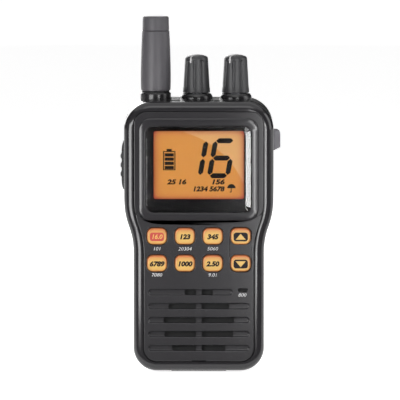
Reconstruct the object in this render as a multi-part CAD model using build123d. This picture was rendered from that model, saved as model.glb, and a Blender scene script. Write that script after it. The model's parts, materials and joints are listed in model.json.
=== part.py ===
"""Handheld marine radio: a moulded two-part body with display, keypad, speaker grille, two knobs,
stub antenna, talk button, jack cover, tilt-off battery and belt clip.

Millimetres. +X is to the right seen from the front, the front faces -Y, +Z is up.
The origin lies on the table, under the middle of the base.
"""

from build123d import *
import math
import os

# ---------------------------------------------------------------- body
SHOULDER = 9.3            # lens opening to the side of the body
LOWER_WIDTH = 55.8        # over the grip
BODY_TOP = 115.9          # top face above the table
BODY_DEPTH = 38.0         # front face to the back of the battery
TAPER_BOTTOM = 51.4       # where the grip's straight sides end
TAPER_LENGTH = 22.3       # height of the curved change of width
TOP_CORNER_R = 12.0
BOTTOM_CORNER_R = 10.0
EDGE_R = 3.8              # rounding of the front rim and of the back edges
FOOT_HEIGHT = 0.5
FOOT_WIDTH = 23.4
FRONT_SHELL_DEPTH = 11.0  # front face to the seam
SEAL_THICKNESS = 0.6      # gasket seen in the seam
BATTERY_DEPTH = 10.0
BATTERY_TOP = 88.0        # underside of the upper block
WALL = 2.2
BACK_WALL = 3.0
TOP_WALL = 3.0
GAP = 0.2                 # between faces that are fitted by hand
SHAFT_FIT = 0.05          # radial clearance of a shaft in its bore

# ---------------------------------------------------------------- front panel and display
RIM = 4.0                 # width of the rounded rim in front view
PANEL_THICKNESS = 1.8
PANEL_GROOVE = 0.3        # gap between rim and panel
PANEL_TOP_R = 5.5
PANEL_BEVEL = 0.4
FRONT_WALL = 1.4          # wall behind the panel
SURROUND_MID_Z = 64.0     # lower edge of the surround at the middle
SURROUND_SAG = 0.3        # how far that edge rises on its way to the corners
SURROUND_RUN = 10.9       # start of its upward curve, inside the rim
SURROUND_CORNER_R = 15.3
RIDGE_SIDE = 3.0          # ridge beside the lens
RIDGE_TOP_Z = 109.0
RIDGE_BOTTOM_Z = 65.3
RIDGE_R = 5.0
RIDGE_HEIGHT = 0.8
LENS_OPENING_WIDTH = 45.2
LENS_OPENING_HEIGHT = 37.0
LENS_OPENING_R = 3.4
LENS_CENTRE_Z = 87.1
LENS_BEVEL = 0.6
LENS_FLANGE = 1.2         # hidden edge that holds the lens
LENS_FLANGE_THICKNESS = 0.7
LENS_SINK = 0.3           # lens below the top of the ridge
LENS_EDGE = 0.3
WINDOW_WIDTH = 38.8
WINDOW_HEIGHT = 29.2
WINDOW_CENTRE_Z = 88.85
WINDOW_R = 1.1
LCD_BORDER = 1.2
LCD_THICKNESS = 2.2

# ---------------------------------------------------------------- keypad
KEY_WIDTH = 8.4
KEY_HEIGHT = 6.9
KEY_R = 2.5
KEY_PITCH_X = 11.9
KEY_ROWS_Z = (58.6, 47.0)
KEY_PROUD = 0.9
KEY_BEVEL = 0.5
KEY_TRAVEL = 0.8
KEY_FLANGE = 0.8
KEY_FLANGE_THICKNESS = 0.8
KEY_FIT = 0.25
ROCKER_RECESS_WIDTH = 10.2
ROCKER_RECESS_MARGIN = 0.6
ROCKER_RECESS_DEPTH = 0.5
MAT_THICKNESS = 1.4
DOME_R = 2.6              # half width of the hollow under each key
DOME_DEPTH = 0.6

# ---------------------------------------------------------------- speaker grille and microphone
SLOT_WIDTH = 42.9
SLOT_HEIGHT = 2.5
SLOT_PITCH = 5.98
SLOT_COUNT = 5
SLOT_LOWEST_Z = 10.6
SLOT_DEPTH = 0.9
SLOT_R = 0.9
SHORT_SLOT_CUT = 7.2      # how much shorter the top slot is, on the right
SOUND_R = 15.75           # circle that bounds the sound openings
SOUND_Z = 21.2
BRIDGE_WIDTH = 2.4        # web down the middle of the openings
MIC_SLOT_WIDTH = 4.0
MIC_SLOT_HEIGHT = 1.3
MIC_X = 18.8
MIC_Z = 35.4
MIC_CAPSULE_R = 3.0
PRY_NOTCH_WIDTH = 6.0
PRY_NOTCH_HEIGHT = 0.5
SPEAKER_RIM = 0.8         # speaker rim outside the sound circle
SPEAKER_DEPTH = 5.6
SPEAKER_FLANGE = 1.2      # thickness of its flat rim
SPEAKER_BASKET_R = 12.0
SPEAKER_LIP = 3.0         # inward lip that carries the magnet
CONE_DEPTH = 1.6          # height of its raised middle
CONE_INNER_R = 5.0
CONE_THICKNESS = 0.4
MAGNET_R = 9.0
MAGNET_HEIGHT = 4.2
MEMBRANE_THICKNESS = 0.2

# ---------------------------------------------------------------- boards
BOARD_THICKNESS = 1.6
CONTROL_BOARD_BOTTOM = 40.0
BOARD_MARGIN = 0.8        # board edge to the case wall
RADIO_BOARD_MARGIN = 3.4
RADIO_BOARD_BOTTOM = 12.0
RADIO_BOARD_TOP = 103.6
SHIELD_WIDTH = 30.0
SHIELD_BOTTOM = 52.0
SHIELD_TOP = 88.0
SHIELD_HEIGHT = 4.0
SHIELD_WALL = 0.5
CONNECTOR_WIDTH = 20.0
CONNECTOR_HEIGHT = 4.0
CONNECTOR_Z = 45.0

# ---------------------------------------------------------------- screws
SCREW_R = 1.0
SCREW_HEAD_R = 1.9
SCREW_HEAD_HEIGHT = 1.5
SCREW_LENGTH = 14.0
BOSS_R = 2.4
UPPER_SCREW = (25.2, 107.0)
LOWER_SCREW = (20.5, 8.6)
SCREW_SEAT_Y = 3.0        # depth at which the screw heads sit

# ---------------------------------------------------------------- knobs
TOP_LINE_Y = 4.0          # knobs and antenna stand on this line
VOLUME_X = -1.0
SQUELCH_X = 15.8
KNOB_BOTTOM_R = 5.9
KNOB_TOP_R = 4.85
KNOB_HEIGHT = 16.4
KNOB_DOME = 0.9
KNOB_EDGE_R = 0.9
KNOB_BASE_GAP = 0.4
KNOB_POCKET_R = 4.7
KNOB_POCKET_DEPTH = 2.6
FLUTES = 9
FLUTE_R = 0.9
FLUTE_DEPTH = 0.45
FLUTE_START = 2.6         # plain band under the flutes
FLUTE_END = 12.9
POINTER_ANGLE = -120.0    # seen from above, 0 is +X
POINTER_WIDTH = 0.6
COLLAR_R = 6.9
COLLAR_TOP_R = 6.3
COLLAR_HEIGHT = 2.2
SHAFT_R = 1.5
SHAFT_GRIP = 9.0          # length of shaft inside the knob
BUSHING_R = 3.0
NUT_R = 4.1
NUT_HEIGHT = 1.5
POT_R = 4.8               # half width of its square body
POT_HEIGHT = 6.0
POT_SPACE_WIDTH = 43.0
POT_SPACE_MARGIN = 0.6
SEAL_SECTION_R = 0.5

# ---------------------------------------------------------------- antenna
ANTENNA_X = -18.5
ANTENNA_COLLAR_R = 6.55
ANTENNA_COLLAR_HEIGHT = 2.7
ANTENNA_SEAL_R = 5.9
ANTENNA_SEAL_THICKNESS = 0.6
SHEATH_BASE_R = 6.35
SHEATH_WAIST_R = 6.45
SHEATH_WAIST_Z = 127.0
SHEATH_TOP_R = 5.85
SHEATH_TOP_Z = 145.1
ANTENNA_TOP_Z = 151.3
ANTENNA_TOP_R = 5.6
ANTENNA_END_ROUND = 0.7
CAP_SPIGOT_R = 3.6
CAP_SPIGOT_LENGTH = 3.0
STUD_R = 2.4
STUD_REACH = 6.0          # length of stud in the socket
STUD_GRIP = 8.0           # length of stud in the sheath
SOCKET_R = 4.2
SOCKET_FLOOR = 1.4

# ---------------------------------------------------------------- talk button and jack
SIDE_LINE_Y = -0.4        # talk button and jack are centred on this line
TALK_BOTTOM = 77.3
TALK_LENGTH = 21.1
TALK_WIDTH = 9.6
TALK_PROUD = 1.25
TALK_END_RUN = 5.0        # length of each sloping end
TALK_RIB_PROUD = 0.45
TALK_RIB_LENGTH = 2.0
TALK_RIB_PITCH = 3.85
TALK_CORNER_R = 1.2
TALK_TRAVEL = 1.2
TALK_FLANGE = 0.7
TALK_FLANGE_THICKNESS = 0.8
TALK_PLUNGER = 1.0
SWITCH_LENGTH = 6.0
SWITCH_DEPTH = 3.2
JACK_Z = 98.5
JACK_WINDOW = 6.6
JACK_R = 1.8
JACK_DEPTH = 11.0
JACK_BODY_LENGTH = 12.0
JACK_BODY_HEIGHT = 8.0
COVER_LENGTH = 8.8
COVER_WIDTH = 9.6
COVER_PROUD = 3.0
COVER_ROUND = 2.0
COVER_SLOPE = 1.5
COVER_PLUG = 1.2
COVER_PLUG_FIT = 0.5

# ---------------------------------------------------------------- battery, contacts, latch
BATTERY_WALL = 1.6
LID_THICKNESS = 1.6
CELL_WIDTH = 38.0
CELL_LENGTH = 34.0
CELL_THICKNESS = 5.0
CELL_LOWEST_Z = 8.0
CELL_GAP = 1.0
PIVOT_Z = 3.4
PIVOT_R = 1.0
PIVOT_INSET = 0.45        # pivot axis inside the case's back face
PIVOT_LENGTH = 8.0
PIVOT_X = 10.5
BATTERY_TILT = 25.0
TILT_MARGIN = 6.0
CONTACT_Z = 70.0
CONTACT_WIDTH = 13.0
CONTACT_HEIGHT = 6.0
CONTACT_PITCH = 4.0
CONTACT_PAD = 2.2
LATCH_WIDTH = 13.4
LATCH_LENGTH = 8.6
LATCH_FLANGE = 1.2
LATCH_FLANGE_THICKNESS = 1.3
LATCH_PLATE_THICKNESS = 3.2
LATCH_TRAVEL = 2.4
LATCH_FLOOR = 2.2         # floor of the latch pocket above the battery
TONGUE_WIDTH = 9.4
TONGUE_THICKNESS = 2.0
TONGUE_REACH = 1.9
LATCH_RIBS = 3

# ---------------------------------------------------------------- belt clip
CLIP_PIN_Z = 76.0
CLIP_GAP = 5.3            # battery to clip
CLIP_THICKNESS = 2.0
CLIP_TOP_Z = 84.0
CLIP_BOTTOM_Z = 25.0
CLIP_TOP_WIDTH = 22.0
CLIP_BOTTOM_WIDTH = 16.0
CLIP_BEAD_R = 1.9
CLIP_BEAD_RISE = 6.0      # bead above the clip's lower end
CLIP_HEAD_LENGTH = 12.0   # straight part at the clip's upper end
CLIP_CORNER_R = 3.0
CLIP_PIN_R = 1.2
CLIP_EAR_R = 2.6
BRACKET_EYE_R = 2.2
CLIP_EAR_WIDTH = 2.4
CLIP_EAR_SPACING = 14.0   # centre to centre of the clip's ears
BRACKET_EAR_WIDTH = 2.2
BRACKET_EAR_SPREAD = 4.0
BRACKET_THICKNESS = 1.0
BRACKET_DROP = 12.0       # pin to the middle of the screws
BRACKET_MARGIN = 3.2      # plate beyond the lower screw
CLIP_SCREW_PITCH = 8.4
CLIP_SCREW_R = 1.1
CLIP_SCREW_HEAD_R = 1.9
CLIP_SCREW_LENGTH = 3.0
COIL_WIRE_R = 0.35
COIL_TURNS = 4
COIL_LEG = 5.0

# ---------------------------------------------------------------- worked out from the above
UPPER_WIDTH = LENS_OPENING_WIDTH + 2 * SHOULDER
RIDGE_WIDTH = LENS_OPENING_WIDTH + 2 * RIDGE_SIDE
FRONT_Y = -BODY_DEPTH / 2
BACK_Y = BODY_DEPTH / 2
SEAM_FRONT_Y = FRONT_Y + FRONT_SHELL_DEPTH
SEAM_BACK_Y = SEAM_FRONT_Y + SEAL_THICKNESS
BATTERY_FACE_Y = BACK_Y - BATTERY_DEPTH
BACK_WALL_Y = BATTERY_FACE_Y - BACK_WALL
PANEL_BACK_Y = FRONT_Y + PANEL_THICKNESS
FRONT_WALL_Y = PANEL_BACK_Y + FRONT_WALL
RIDGE_Y = FRONT_Y - RIDGE_HEIGHT
LENS_FRONT_Y = RIDGE_Y + LENS_SINK
KEY_FRONT_Y = FRONT_Y - KEY_PROUD
FLANGE_FRONT_Y = FRONT_WALL_Y + GAP / 2
FLANGE_BACK_Y = FLANGE_FRONT_Y + KEY_FLANGE_THICKNESS
MAT_FRONT_Y = FLANGE_BACK_Y + KEY_TRAVEL + GAP / 2
CONTROL_BOARD_Y = MAT_FRONT_Y + MAT_THICKNESS
CONTROL_BOARD_BACK_Y = CONTROL_BOARD_Y + BOARD_THICKNESS
RADIO_BOARD_Y = BACK_WALL_Y - BOARD_THICKNESS
TOP_INNER_Z = BODY_TOP - TOP_WALL
COLLAR_TOP_Z = BODY_TOP + COLLAR_HEIGHT
KNOB_BOTTOM_Z = COLLAR_TOP_Z + KNOB_BASE_GAP
KNOB_TOP_Z = KNOB_BOTTOM_Z + KNOB_HEIGHT
ANTENNA_COLLAR_Z = BODY_TOP + ANTENNA_COLLAR_HEIGHT
SOCKET_BOTTOM_Z = ANTENNA_COLLAR_Z - STUD_REACH - SOCKET_FLOOR
ANTENNA_SEAL_Z = ANTENNA_COLLAR_Z + GAP / 4
SHEATH_Z = ANTENNA_SEAL_Z + ANTENNA_SEAL_THICKNESS + GAP / 4
KEY_COLUMNS_X = tuple((i - 1.5) * KEY_PITCH_X for i in range(4))
SCREWS = tuple((side * x, z) for x, z in (UPPER_SCREW, LOWER_SCREW) for side in (-1, 1))
SIDE_X = UPPER_WIDTH / 2
SIDE_INNER_X = SIDE_X - WALL
SPEAKER_R = SOUND_R + SPEAKER_RIM
SPEAKER_SEAT_R = SOUND_R - 1.0
PIVOT_Y = BATTERY_FACE_Y - PIVOT_INSET
CLIP_Y = BACK_Y + CLIP_GAP
COIL_R = CLIP_PIN_R + GAP / 4 + COIL_WIRE_R
CLIP_PIN_Y = BACK_Y + BRACKET_THICKNESS + COIL_WIRE_R + COIL_R
LATCH_POCKET_Y = BACK_Y - LATCH_PLATE_THICKNESS - GAP
LATCH_Z = BATTERY_TOP + LATCH_FLOOR + GAP / 2
PLENTY = 2 * BODY_TOP     # longer than anything it cuts


# ---------------------------------------------------------------- helpers
def slab(face, y_front, y_back):
    """Extrude a face drawn in x and z between two depths."""
    return extrude(Plane.XZ.offset(-y_back) * face, amount=y_back - y_front)


def block(x_low, x_high, y_low, y_high, z_low, z_high):
    """Box between two corners."""
    size = (x_high - x_low, y_high - y_low, z_high - z_low)
    centre = ((x_low + x_high) / 2, (y_low + y_high) / 2, (z_low + z_high) / 2)
    return Pos(*centre) * Box(*size)


def rounded(width, height, radius, x=0.0, z=0.0):
    """Rectangle with round corners, in x and z."""
    return Pos(x, z) * RectangleRounded(width, height, radius)


def post(x, y, z_low, z_high, radius):
    """Upright cylinder."""
    return Pos(x, y, (z_low + z_high) / 2) * Cylinder(radius, z_high - z_low)


def along_y(x, z, y_front, y_back, radius):
    """Cylinder along Y."""
    return slab(Pos(x, z) * Circle(radius), y_front, y_back)


def along_x(x_low, x_high, y, z, radius):
    """Cylinder along X."""
    length = x_high - x_low
    return Pos((x_low + x_high) / 2, y, z) * Rot(0, 90, 0) * Cylinder(radius, length)


def revolved(x, y, points):
    """Turn a closed profile of (radius, z) points round an upright axis."""
    profile = Plane.XZ * make_face(Polyline(*points, close=True))
    return Pos(x, y, 0) * revolve(profile, Axis.Z)


def body_outline(inset=0.0, top_radius=None):
    """Front view of the body, set in evenly: wide shoulders, a curved waist and a narrow grip."""
    half_up = UPPER_WIDTH / 2 - inset
    half_low = LOWER_WIDTH / 2 - inset
    top = BODY_TOP - inset
    bottom = FOOT_HEIGHT + inset
    r_top = TOP_CORNER_R - inset if top_radius is None else top_radius
    r_bottom = BOTTOM_CORNER_R - inset
    flare = (UPPER_WIDTH - LOWER_WIDTH) / 2
    r_waist = (flare ** 2 + TAPER_LENGTH ** 2) / (4 * flare)
    turn = math.degrees(math.atan2(TAPER_LENGTH, 2 * r_waist - flare))
    taper_top = TAPER_BOTTOM + TAPER_LENGTH
    with BuildSketch() as sketch:
        with BuildLine():
            Line((0, bottom), (half_low - r_bottom, bottom))
            CenterArc((half_low - r_bottom, bottom + r_bottom), r_bottom, -90, 90)
            Line((half_low, bottom + r_bottom), (half_low, TAPER_BOTTOM))
            CenterArc((LOWER_WIDTH / 2 + r_waist, TAPER_BOTTOM), r_waist + inset, 180, -turn)
            CenterArc((UPPER_WIDTH / 2 - r_waist, taper_top), r_waist - inset, -turn, turn)
            Line((half_up, taper_top), (half_up, top - r_top))
            CenterArc((half_up - r_top, top - r_top), r_top, 0, 90)
            Line((half_up - r_top, top), (0, top))
            mirror(about=Plane.YZ)
        make_face()
    return sketch.sketch


def swoop(shift=0.0):
    """Region above the lower edge of the display surround; shift lowers it."""
    middle = SURROUND_MID_Z - shift
    knee = UPPER_WIDTH / 2 - RIM - SURROUND_RUN
    with BuildSketch() as sketch:
        with BuildLine():
            low = ThreePointArc((-knee, middle + SURROUND_SAG), (0, middle), (knee, middle + SURROUND_SAG))
            right = JernArc(low @ 1, low % 1, SURROUND_CORNER_R + shift, 75)
            mirror(right, about=Plane.YZ)
            end = right @ 1
            Polyline(end, (end.X, PLENTY), (-end.X, PLENTY), (-end.X, end.Y))
        make_face()
    return sketch.sketch


def hex_prism(x, y, z_low, z_high, across_corners_r):
    """Upright hexagonal prism."""
    return Pos(x, y, z_low) * extrude(RegularPolygon(across_corners_r, 6), amount=z_high - z_low)


# ---------------------------------------------------------------- case
def body_form():
    """Outer form of the whole body with its front and back edges rounded."""
    form = slab(body_outline(), FRONT_Y, BACK_Y)
    front_edges = form.edges().group_by(Axis.Y)[0]
    back_edges = form.edges().group_by(Axis.Y)[-1]
    return fillet(front_edges + back_edges, EDGE_R)


def key_centres():
    """Name, x and z of the eight keys, row by row."""
    upper, lower = KEY_ROWS_Z
    names = ("red", "weather", "channel", "up"), ("scan", "memory", "power", "down")
    for row, z in zip(names, (upper, lower)):
        for name, x in zip(row, KEY_COLUMNS_X):
            yield name, x, z


def key_holes():
    """Openings for the key caps."""
    hole = RectangleRounded(KEY_WIDTH + 2 * KEY_FIT, KEY_HEIGHT + 2 * KEY_FIT, KEY_R + KEY_FIT)
    return Sketch() + [Pos(x, z) * hole for _, x, z in key_centres()]


def foot(y_front, y_back):
    """Pad that stands on the table."""
    half = FOOT_WIDTH / 2
    return block(-half, half, y_front, y_back, 0, FOOT_HEIGHT + WALL / 2)


def square_boss(x, z, y_front, y_back):
    """Pillar for a screw."""
    return block(x - BOSS_R, x + BOSS_R, y_front, y_back, z - BOSS_R, z + BOSS_R)


def make_front_case(form):
    case = form & block(-PLENTY, PLENTY, FRONT_Y, SEAM_FRONT_Y, 0, PLENTY)
    case -= slab(body_outline(WALL), FRONT_WALL_Y, SEAM_FRONT_Y)
    case -= slab(body_outline(RIM, PANEL_TOP_R), FRONT_Y, PANEL_BACK_Y)
    openings = [rounded(WINDOW_WIDTH, WINDOW_HEIGHT, WINDOW_R, 0, WINDOW_CENTRE_Z)]
    guide = Rectangle(KEY_WIDTH + 2 * KEY_FIT, KEY_HEIGHT + 2 * KEY_FIT)
    openings += [Pos(x, z) * guide for _, x, z in key_centres()]
    openings.append(Pos(0, SOUND_Z) * RegularPolygon(SOUND_R, 16))
    openings.append(Pos(MIC_X, MIC_Z) * Rectangle(MIC_SLOT_WIDTH, MIC_SLOT_HEIGHT))
    case -= slab(Sketch() + openings, PANEL_BACK_Y, FRONT_WALL_Y)
    for x, z in SCREWS:
        case += square_boss(x, z, FRONT_WALL_Y, SEAM_FRONT_Y)
    tip_y = SCREW_SEAT_Y - SCREW_LENGTH
    for x, z in SCREWS:
        case -= along_y(x, z, tip_y - GAP, SEAM_FRONT_Y, SCREW_R + SHAFT_FIT)
    return case + foot(FRONT_Y + EDGE_R + 2, SEAM_FRONT_Y)


def make_case_gasket():
    ring = body_outline(EDGE_R / 10) - body_outline(WALL)
    return slab(ring, SEAM_FRONT_Y, SEAM_BACK_Y)


def make_rear_case(form):
    case = form & block(-PLENTY, PLENTY, SEAM_BACK_Y, BACK_Y, 0, PLENTY)
    case -= block(-PLENTY, PLENTY, BATTERY_FACE_Y, PLENTY, 0, BATTERY_TOP)
    inner = body_outline(WALL) & Pos(0, TOP_INNER_Z / 2) * Rectangle(PLENTY, TOP_INNER_Z)
    case -= slab(inner, SEAM_BACK_Y, BACK_WALL_Y)
    half = POT_SPACE_WIDTH / 2
    case -= block(-half, half, 0, TOP_LINE_Y + POT_R + POT_SPACE_MARGIN,
                  BATTERY_TOP + LATCH_FLOOR, TOP_INNER_Z)
    for x, z in SCREWS:
        case += square_boss(x, z, SEAM_BACK_Y, BACK_WALL_Y)
    for x, z in SCREWS:
        case -= along_y(x, z, SEAM_BACK_Y, SCREW_SEAT_Y, SCREW_R + GAP)
        case -= along_y(x, z, SCREW_SEAT_Y, PLENTY, SCREW_HEAD_R + GAP)
    case += foot(SEAM_BACK_Y, BACK_WALL_Y)
    case += revolved(ANTENNA_X, TOP_LINE_Y, (
        (0, BODY_TOP - 1), (ANTENNA_COLLAR_R, BODY_TOP - 1), (ANTENNA_COLLAR_R, ANTENNA_COLLAR_Z - 0.4),
        (ANTENNA_COLLAR_R - 0.4, ANTENNA_COLLAR_Z), (0, ANTENNA_COLLAR_Z)))
    case -= post(ANTENNA_X, TOP_LINE_Y, SOCKET_BOTTOM_Z, PLENTY, SOCKET_R)
    for x in (VOLUME_X, SQUELCH_X):
        case += revolved(x, TOP_LINE_Y, (
            (0, BODY_TOP - 1), (COLLAR_R, BODY_TOP - 1), (COLLAR_R, BODY_TOP + COLLAR_HEIGHT / 2),
            (COLLAR_TOP_R, COLLAR_TOP_Z), (0, COLLAR_TOP_Z)))
    for x in (VOLUME_X, SQUELCH_X):
        case -= post(x, TOP_LINE_Y, TOP_INNER_Z - 1, PLENTY, BUSHING_R + GAP / 2)
        case -= post(x, TOP_LINE_Y, TOP_INNER_Z - 1, TOP_INNER_Z + 2 * SEAL_SECTION_R,
                     BUSHING_R + GAP / 2 + 2 * SEAL_SECTION_R)
    case -= talk_prism(GAP / 2)
    case -= jack_opening()
    case -= contact_opening(BACK_WALL_Y, BATTERY_FACE_Y)
    case -= pivot_sockets()
    case -= latch_pocket()
    return case


def talk_prism(grow):
    """Outline of the talk button carried through the left wall."""
    face = RectangleRounded(TALK_WIDTH + 2 * grow, TALK_LENGTH + 2 * grow, TALK_CORNER_R + grow)
    side = Plane.YZ.offset(-PLENTY) * Pos(SIDE_LINE_Y, TALK_BOTTOM + TALK_LENGTH / 2) * face
    return extrude(side, amount=PLENTY - SIDE_INNER_X + 1)


def jack_opening():
    face = RectangleRounded(JACK_WINDOW, JACK_WINDOW, 1.2)
    side = Plane.YZ.offset(SIDE_INNER_X - 1) * Pos(SIDE_LINE_Y, JACK_Z) * face
    return extrude(side, amount=PLENTY)


def contact_opening(y_front, y_back, margin=GAP / 2):
    half = CONTACT_WIDTH / 2 + margin
    rise = CONTACT_HEIGHT / 2 + margin
    return block(-half, half, y_front, y_back, CONTACT_Z - rise, CONTACT_Z + rise)


def pivot_sockets():
    """Grooves in the back face that take the battery's two pivot bars."""
    reach = PIVOT_R + SHAFT_FIT
    sockets = []
    for side in (-1, 1):
        low = side * PIVOT_X - PIVOT_LENGTH / 2 - GAP
        high = side * PIVOT_X + PIVOT_LENGTH / 2 + GAP
        sockets.append(along_x(low, high, PIVOT_Y, PIVOT_Z, reach))
        sockets.append(block(low, high, PIVOT_Y, BATTERY_FACE_Y, PIVOT_Z - reach, PIVOT_Z + reach))
    return sockets


def latch_pocket():
    """Pocket in the upper block: a mouth for the thumb plate and a wider space for its flange."""
    half = LATCH_WIDTH / 2 + GAP
    wide = half + LATCH_FLANGE
    low = LATCH_Z - GAP / 2
    high = LATCH_Z + LATCH_LENGTH + LATCH_TRAVEL + GAP / 2
    back = LATCH_POCKET_Y + LATCH_FLANGE_THICKNESS + 2 * GAP
    tongue_half = TONGUE_WIDTH / 2 + GAP
    return [
        block(-half, half, LATCH_POCKET_Y, PLENTY, low, high),
        block(-wide, wide, LATCH_POCKET_Y, back, low, high),
        block(-tongue_half, tongue_half, LATCH_POCKET_Y,
              LATCH_POCKET_Y + TONGUE_THICKNESS + 2 * GAP, BATTERY_TOP - 1, low + 1),
    ]


def make_case_screws():
    screws = []
    for x, z in SCREWS:
        screw = along_y(x, z, SCREW_SEAT_Y - SCREW_LENGTH, SCREW_SEAT_Y, SCREW_R)
        screws.append(screw + along_y(x, z, SCREW_SEAT_Y, SCREW_SEAT_Y + SCREW_HEAD_HEIGHT, SCREW_HEAD_R))
    return Compound(children=screws)


# ---------------------------------------------------------------- front panel and display
def slot_faces():
    """The grille's long slots; the top one leaves room for the microphone."""
    faces = []
    for i in range(SLOT_COUNT):
        cut = SHORT_SLOT_CUT if i == SLOT_COUNT - 1 else 0
        z = SLOT_LOWEST_Z + i * SLOT_PITCH
        faces.append(rounded(SLOT_WIDTH - cut, SLOT_HEIGHT, SLOT_R, -cut / 2, z))
    return Sketch() + faces


def make_front_panel():
    outline = body_outline(RIM + PANEL_GROOVE) - swoop(PANEL_GROOVE)
    panel = slab(outline, FRONT_Y, PANEL_BACK_Y)
    panel = chamfer(panel.edges().group_by(Axis.Y)[0], PANEL_BEVEL)
    upper, lower = KEY_ROWS_Z
    recess_height = upper - lower + KEY_HEIGHT + 2 * (KEY_FIT + ROCKER_RECESS_MARGIN)
    recess = rounded(ROCKER_RECESS_WIDTH, recess_height, KEY_R + ROCKER_RECESS_MARGIN,
                     KEY_COLUMNS_X[-1], (upper + lower) / 2)
    panel -= slab(recess, FRONT_Y, FRONT_Y + ROCKER_RECESS_DEPTH)
    panel -= slab(key_holes(), FRONT_Y, PANEL_BACK_Y)
    slots = slot_faces()
    panel -= slab(slots, FRONT_Y, FRONT_Y + SLOT_DEPTH)
    sound = slots & Pos(0, SOUND_Z) * Circle(SOUND_R)
    sound -= Rectangle(BRIDGE_WIDTH, PLENTY)
    panel -= slab(sound, FRONT_Y + SLOT_DEPTH, PANEL_BACK_Y)
    panel -= slab(rounded(MIC_SLOT_WIDTH, MIC_SLOT_HEIGHT, MIC_SLOT_HEIGHT / 2 - 0.01, MIC_X, MIC_Z),
                  FRONT_Y, PANEL_BACK_Y)
    notch_z = FOOT_HEIGHT + RIM + PANEL_GROOVE
    notch = Pos(0, notch_z) * Rectangle(PRY_NOTCH_WIDTH, 2 * PRY_NOTCH_HEIGHT)
    return panel - slab(notch, FRONT_Y, PANEL_BACK_Y)


def lens_outline(grow=0.0):
    return rounded(LENS_OPENING_WIDTH + 2 * grow, LENS_OPENING_HEIGHT + 2 * grow,
                   LENS_OPENING_R + grow, 0, LENS_CENTRE_Z)


def lens_flange(grow=0.0):
    """Hidden square-cornered edge of the lens."""
    width = LENS_OPENING_WIDTH + 2 * (LENS_FLANGE - GAP + grow)
    height = LENS_OPENING_HEIGHT + 2 * (LENS_FLANGE - GAP + grow)
    return Pos(0, LENS_CENTRE_Z) * Rectangle(width, height)


def make_display_surround():
    plate_face = body_outline(RIM + PANEL_GROOVE, PANEL_TOP_R - PANEL_GROOVE) & swoop()
    plate = slab(plate_face, FRONT_Y, PANEL_BACK_Y)
    plate = chamfer(plate.edges().group_by(Axis.Y)[0], PANEL_BEVEL)
    ridge_height = RIDGE_TOP_Z - RIDGE_BOTTOM_Z
    ridge_face = rounded(RIDGE_WIDTH, ridge_height, RIDGE_R, 0, RIDGE_BOTTOM_Z + ridge_height / 2)
    ridge = slab(ridge_face, RIDGE_Y, PANEL_BACK_Y)
    ridge = chamfer(ridge.edges().group_by(Axis.Y)[0], RIDGE_HEIGHT - 0.1)
    surround = plate + ridge
    surround -= slab(lens_outline(), RIDGE_Y, PANEL_BACK_Y)
    rim_edges = surround.edges().group_by(Axis.Y)[0].filter_by(
        lambda e: abs(e.center().X) < LENS_OPENING_WIDTH / 2 + 0.01
        and abs(e.center().Z - LENS_CENTRE_Z) < LENS_OPENING_HEIGHT / 2 + 0.01)
    surround = chamfer(rim_edges, LENS_BEVEL)
    seat_y = PANEL_BACK_Y - LENS_FLANGE_THICKNESS - GAP / 4
    return surround - slab(lens_flange(GAP), seat_y, PANEL_BACK_Y)


def make_display_lens():
    lens = slab(lens_outline(-GAP), LENS_FRONT_Y, PANEL_BACK_Y)
    lens = chamfer(lens.edges().group_by(Axis.Y)[0], LENS_EDGE)
    return lens + slab(lens_flange(), PANEL_BACK_Y - LENS_FLANGE_THICKNESS, PANEL_BACK_Y)


def display_plate(y_front, y_back):
    """Plate as large as the display's glass."""
    face = Rectangle(WINDOW_WIDTH + 2 * LCD_BORDER, WINDOW_HEIGHT + 2 * LCD_BORDER)
    return slab(Pos(0, WINDOW_CENTRE_Z) * face, y_front, y_back)


def make_lcd_glass():
    return display_plate(FRONT_WALL_Y, FRONT_WALL_Y + LCD_THICKNESS)


def make_backlight_guide():
    return display_plate(FRONT_WALL_Y + LCD_THICKNESS, CONTROL_BOARD_Y)


# ---------------------------------------------------------------- keypad
def make_key(x, z):
    """Key cap with a holding flange behind the front wall."""
    cap = slab(rounded(KEY_WIDTH, KEY_HEIGHT, KEY_R, x, z), KEY_FRONT_Y, FLANGE_BACK_Y)
    cap = chamfer(cap.edges().group_by(Axis.Y)[0], KEY_BEVEL)
    flange = Pos(x, z) * Rectangle(KEY_WIDTH + 2 * KEY_FLANGE, KEY_HEIGHT + 2 * KEY_FLANGE)
    return cap + slab(flange, FLANGE_FRONT_Y, FLANGE_BACK_Y)


def make_keypad_mat():
    upper, lower = KEY_ROWS_Z
    width = 3 * KEY_PITCH_X + KEY_WIDTH + 2 * KEY_FLANGE
    height = upper - lower + KEY_HEIGHT + 2 * KEY_FLANGE
    mat = slab(Pos(0, (upper + lower) / 2) * Rectangle(width, height), MAT_FRONT_Y, CONTROL_BOARD_Y)
    for _, x, z in key_centres():
        mat -= block(x - DOME_R, x + DOME_R, CONTROL_BOARD_Y - DOME_DEPTH, CONTROL_BOARD_Y,
                     z - DOME_R, z + DOME_R)
    return mat


# ---------------------------------------------------------------- sound
def make_speaker_membrane():
    return along_y(0, SOUND_Z, FRONT_WALL_Y, FRONT_WALL_Y + MEMBRANE_THICKNESS, SPEAKER_R)


def turned_along_y(z, points):
    """Turn a closed profile of (radius, y) points round an axis along Y."""
    profile = Plane.XY * make_face(Polyline(*points, close=True))
    return Pos(0, 0, z) * revolve(profile, Axis.Y)


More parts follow.
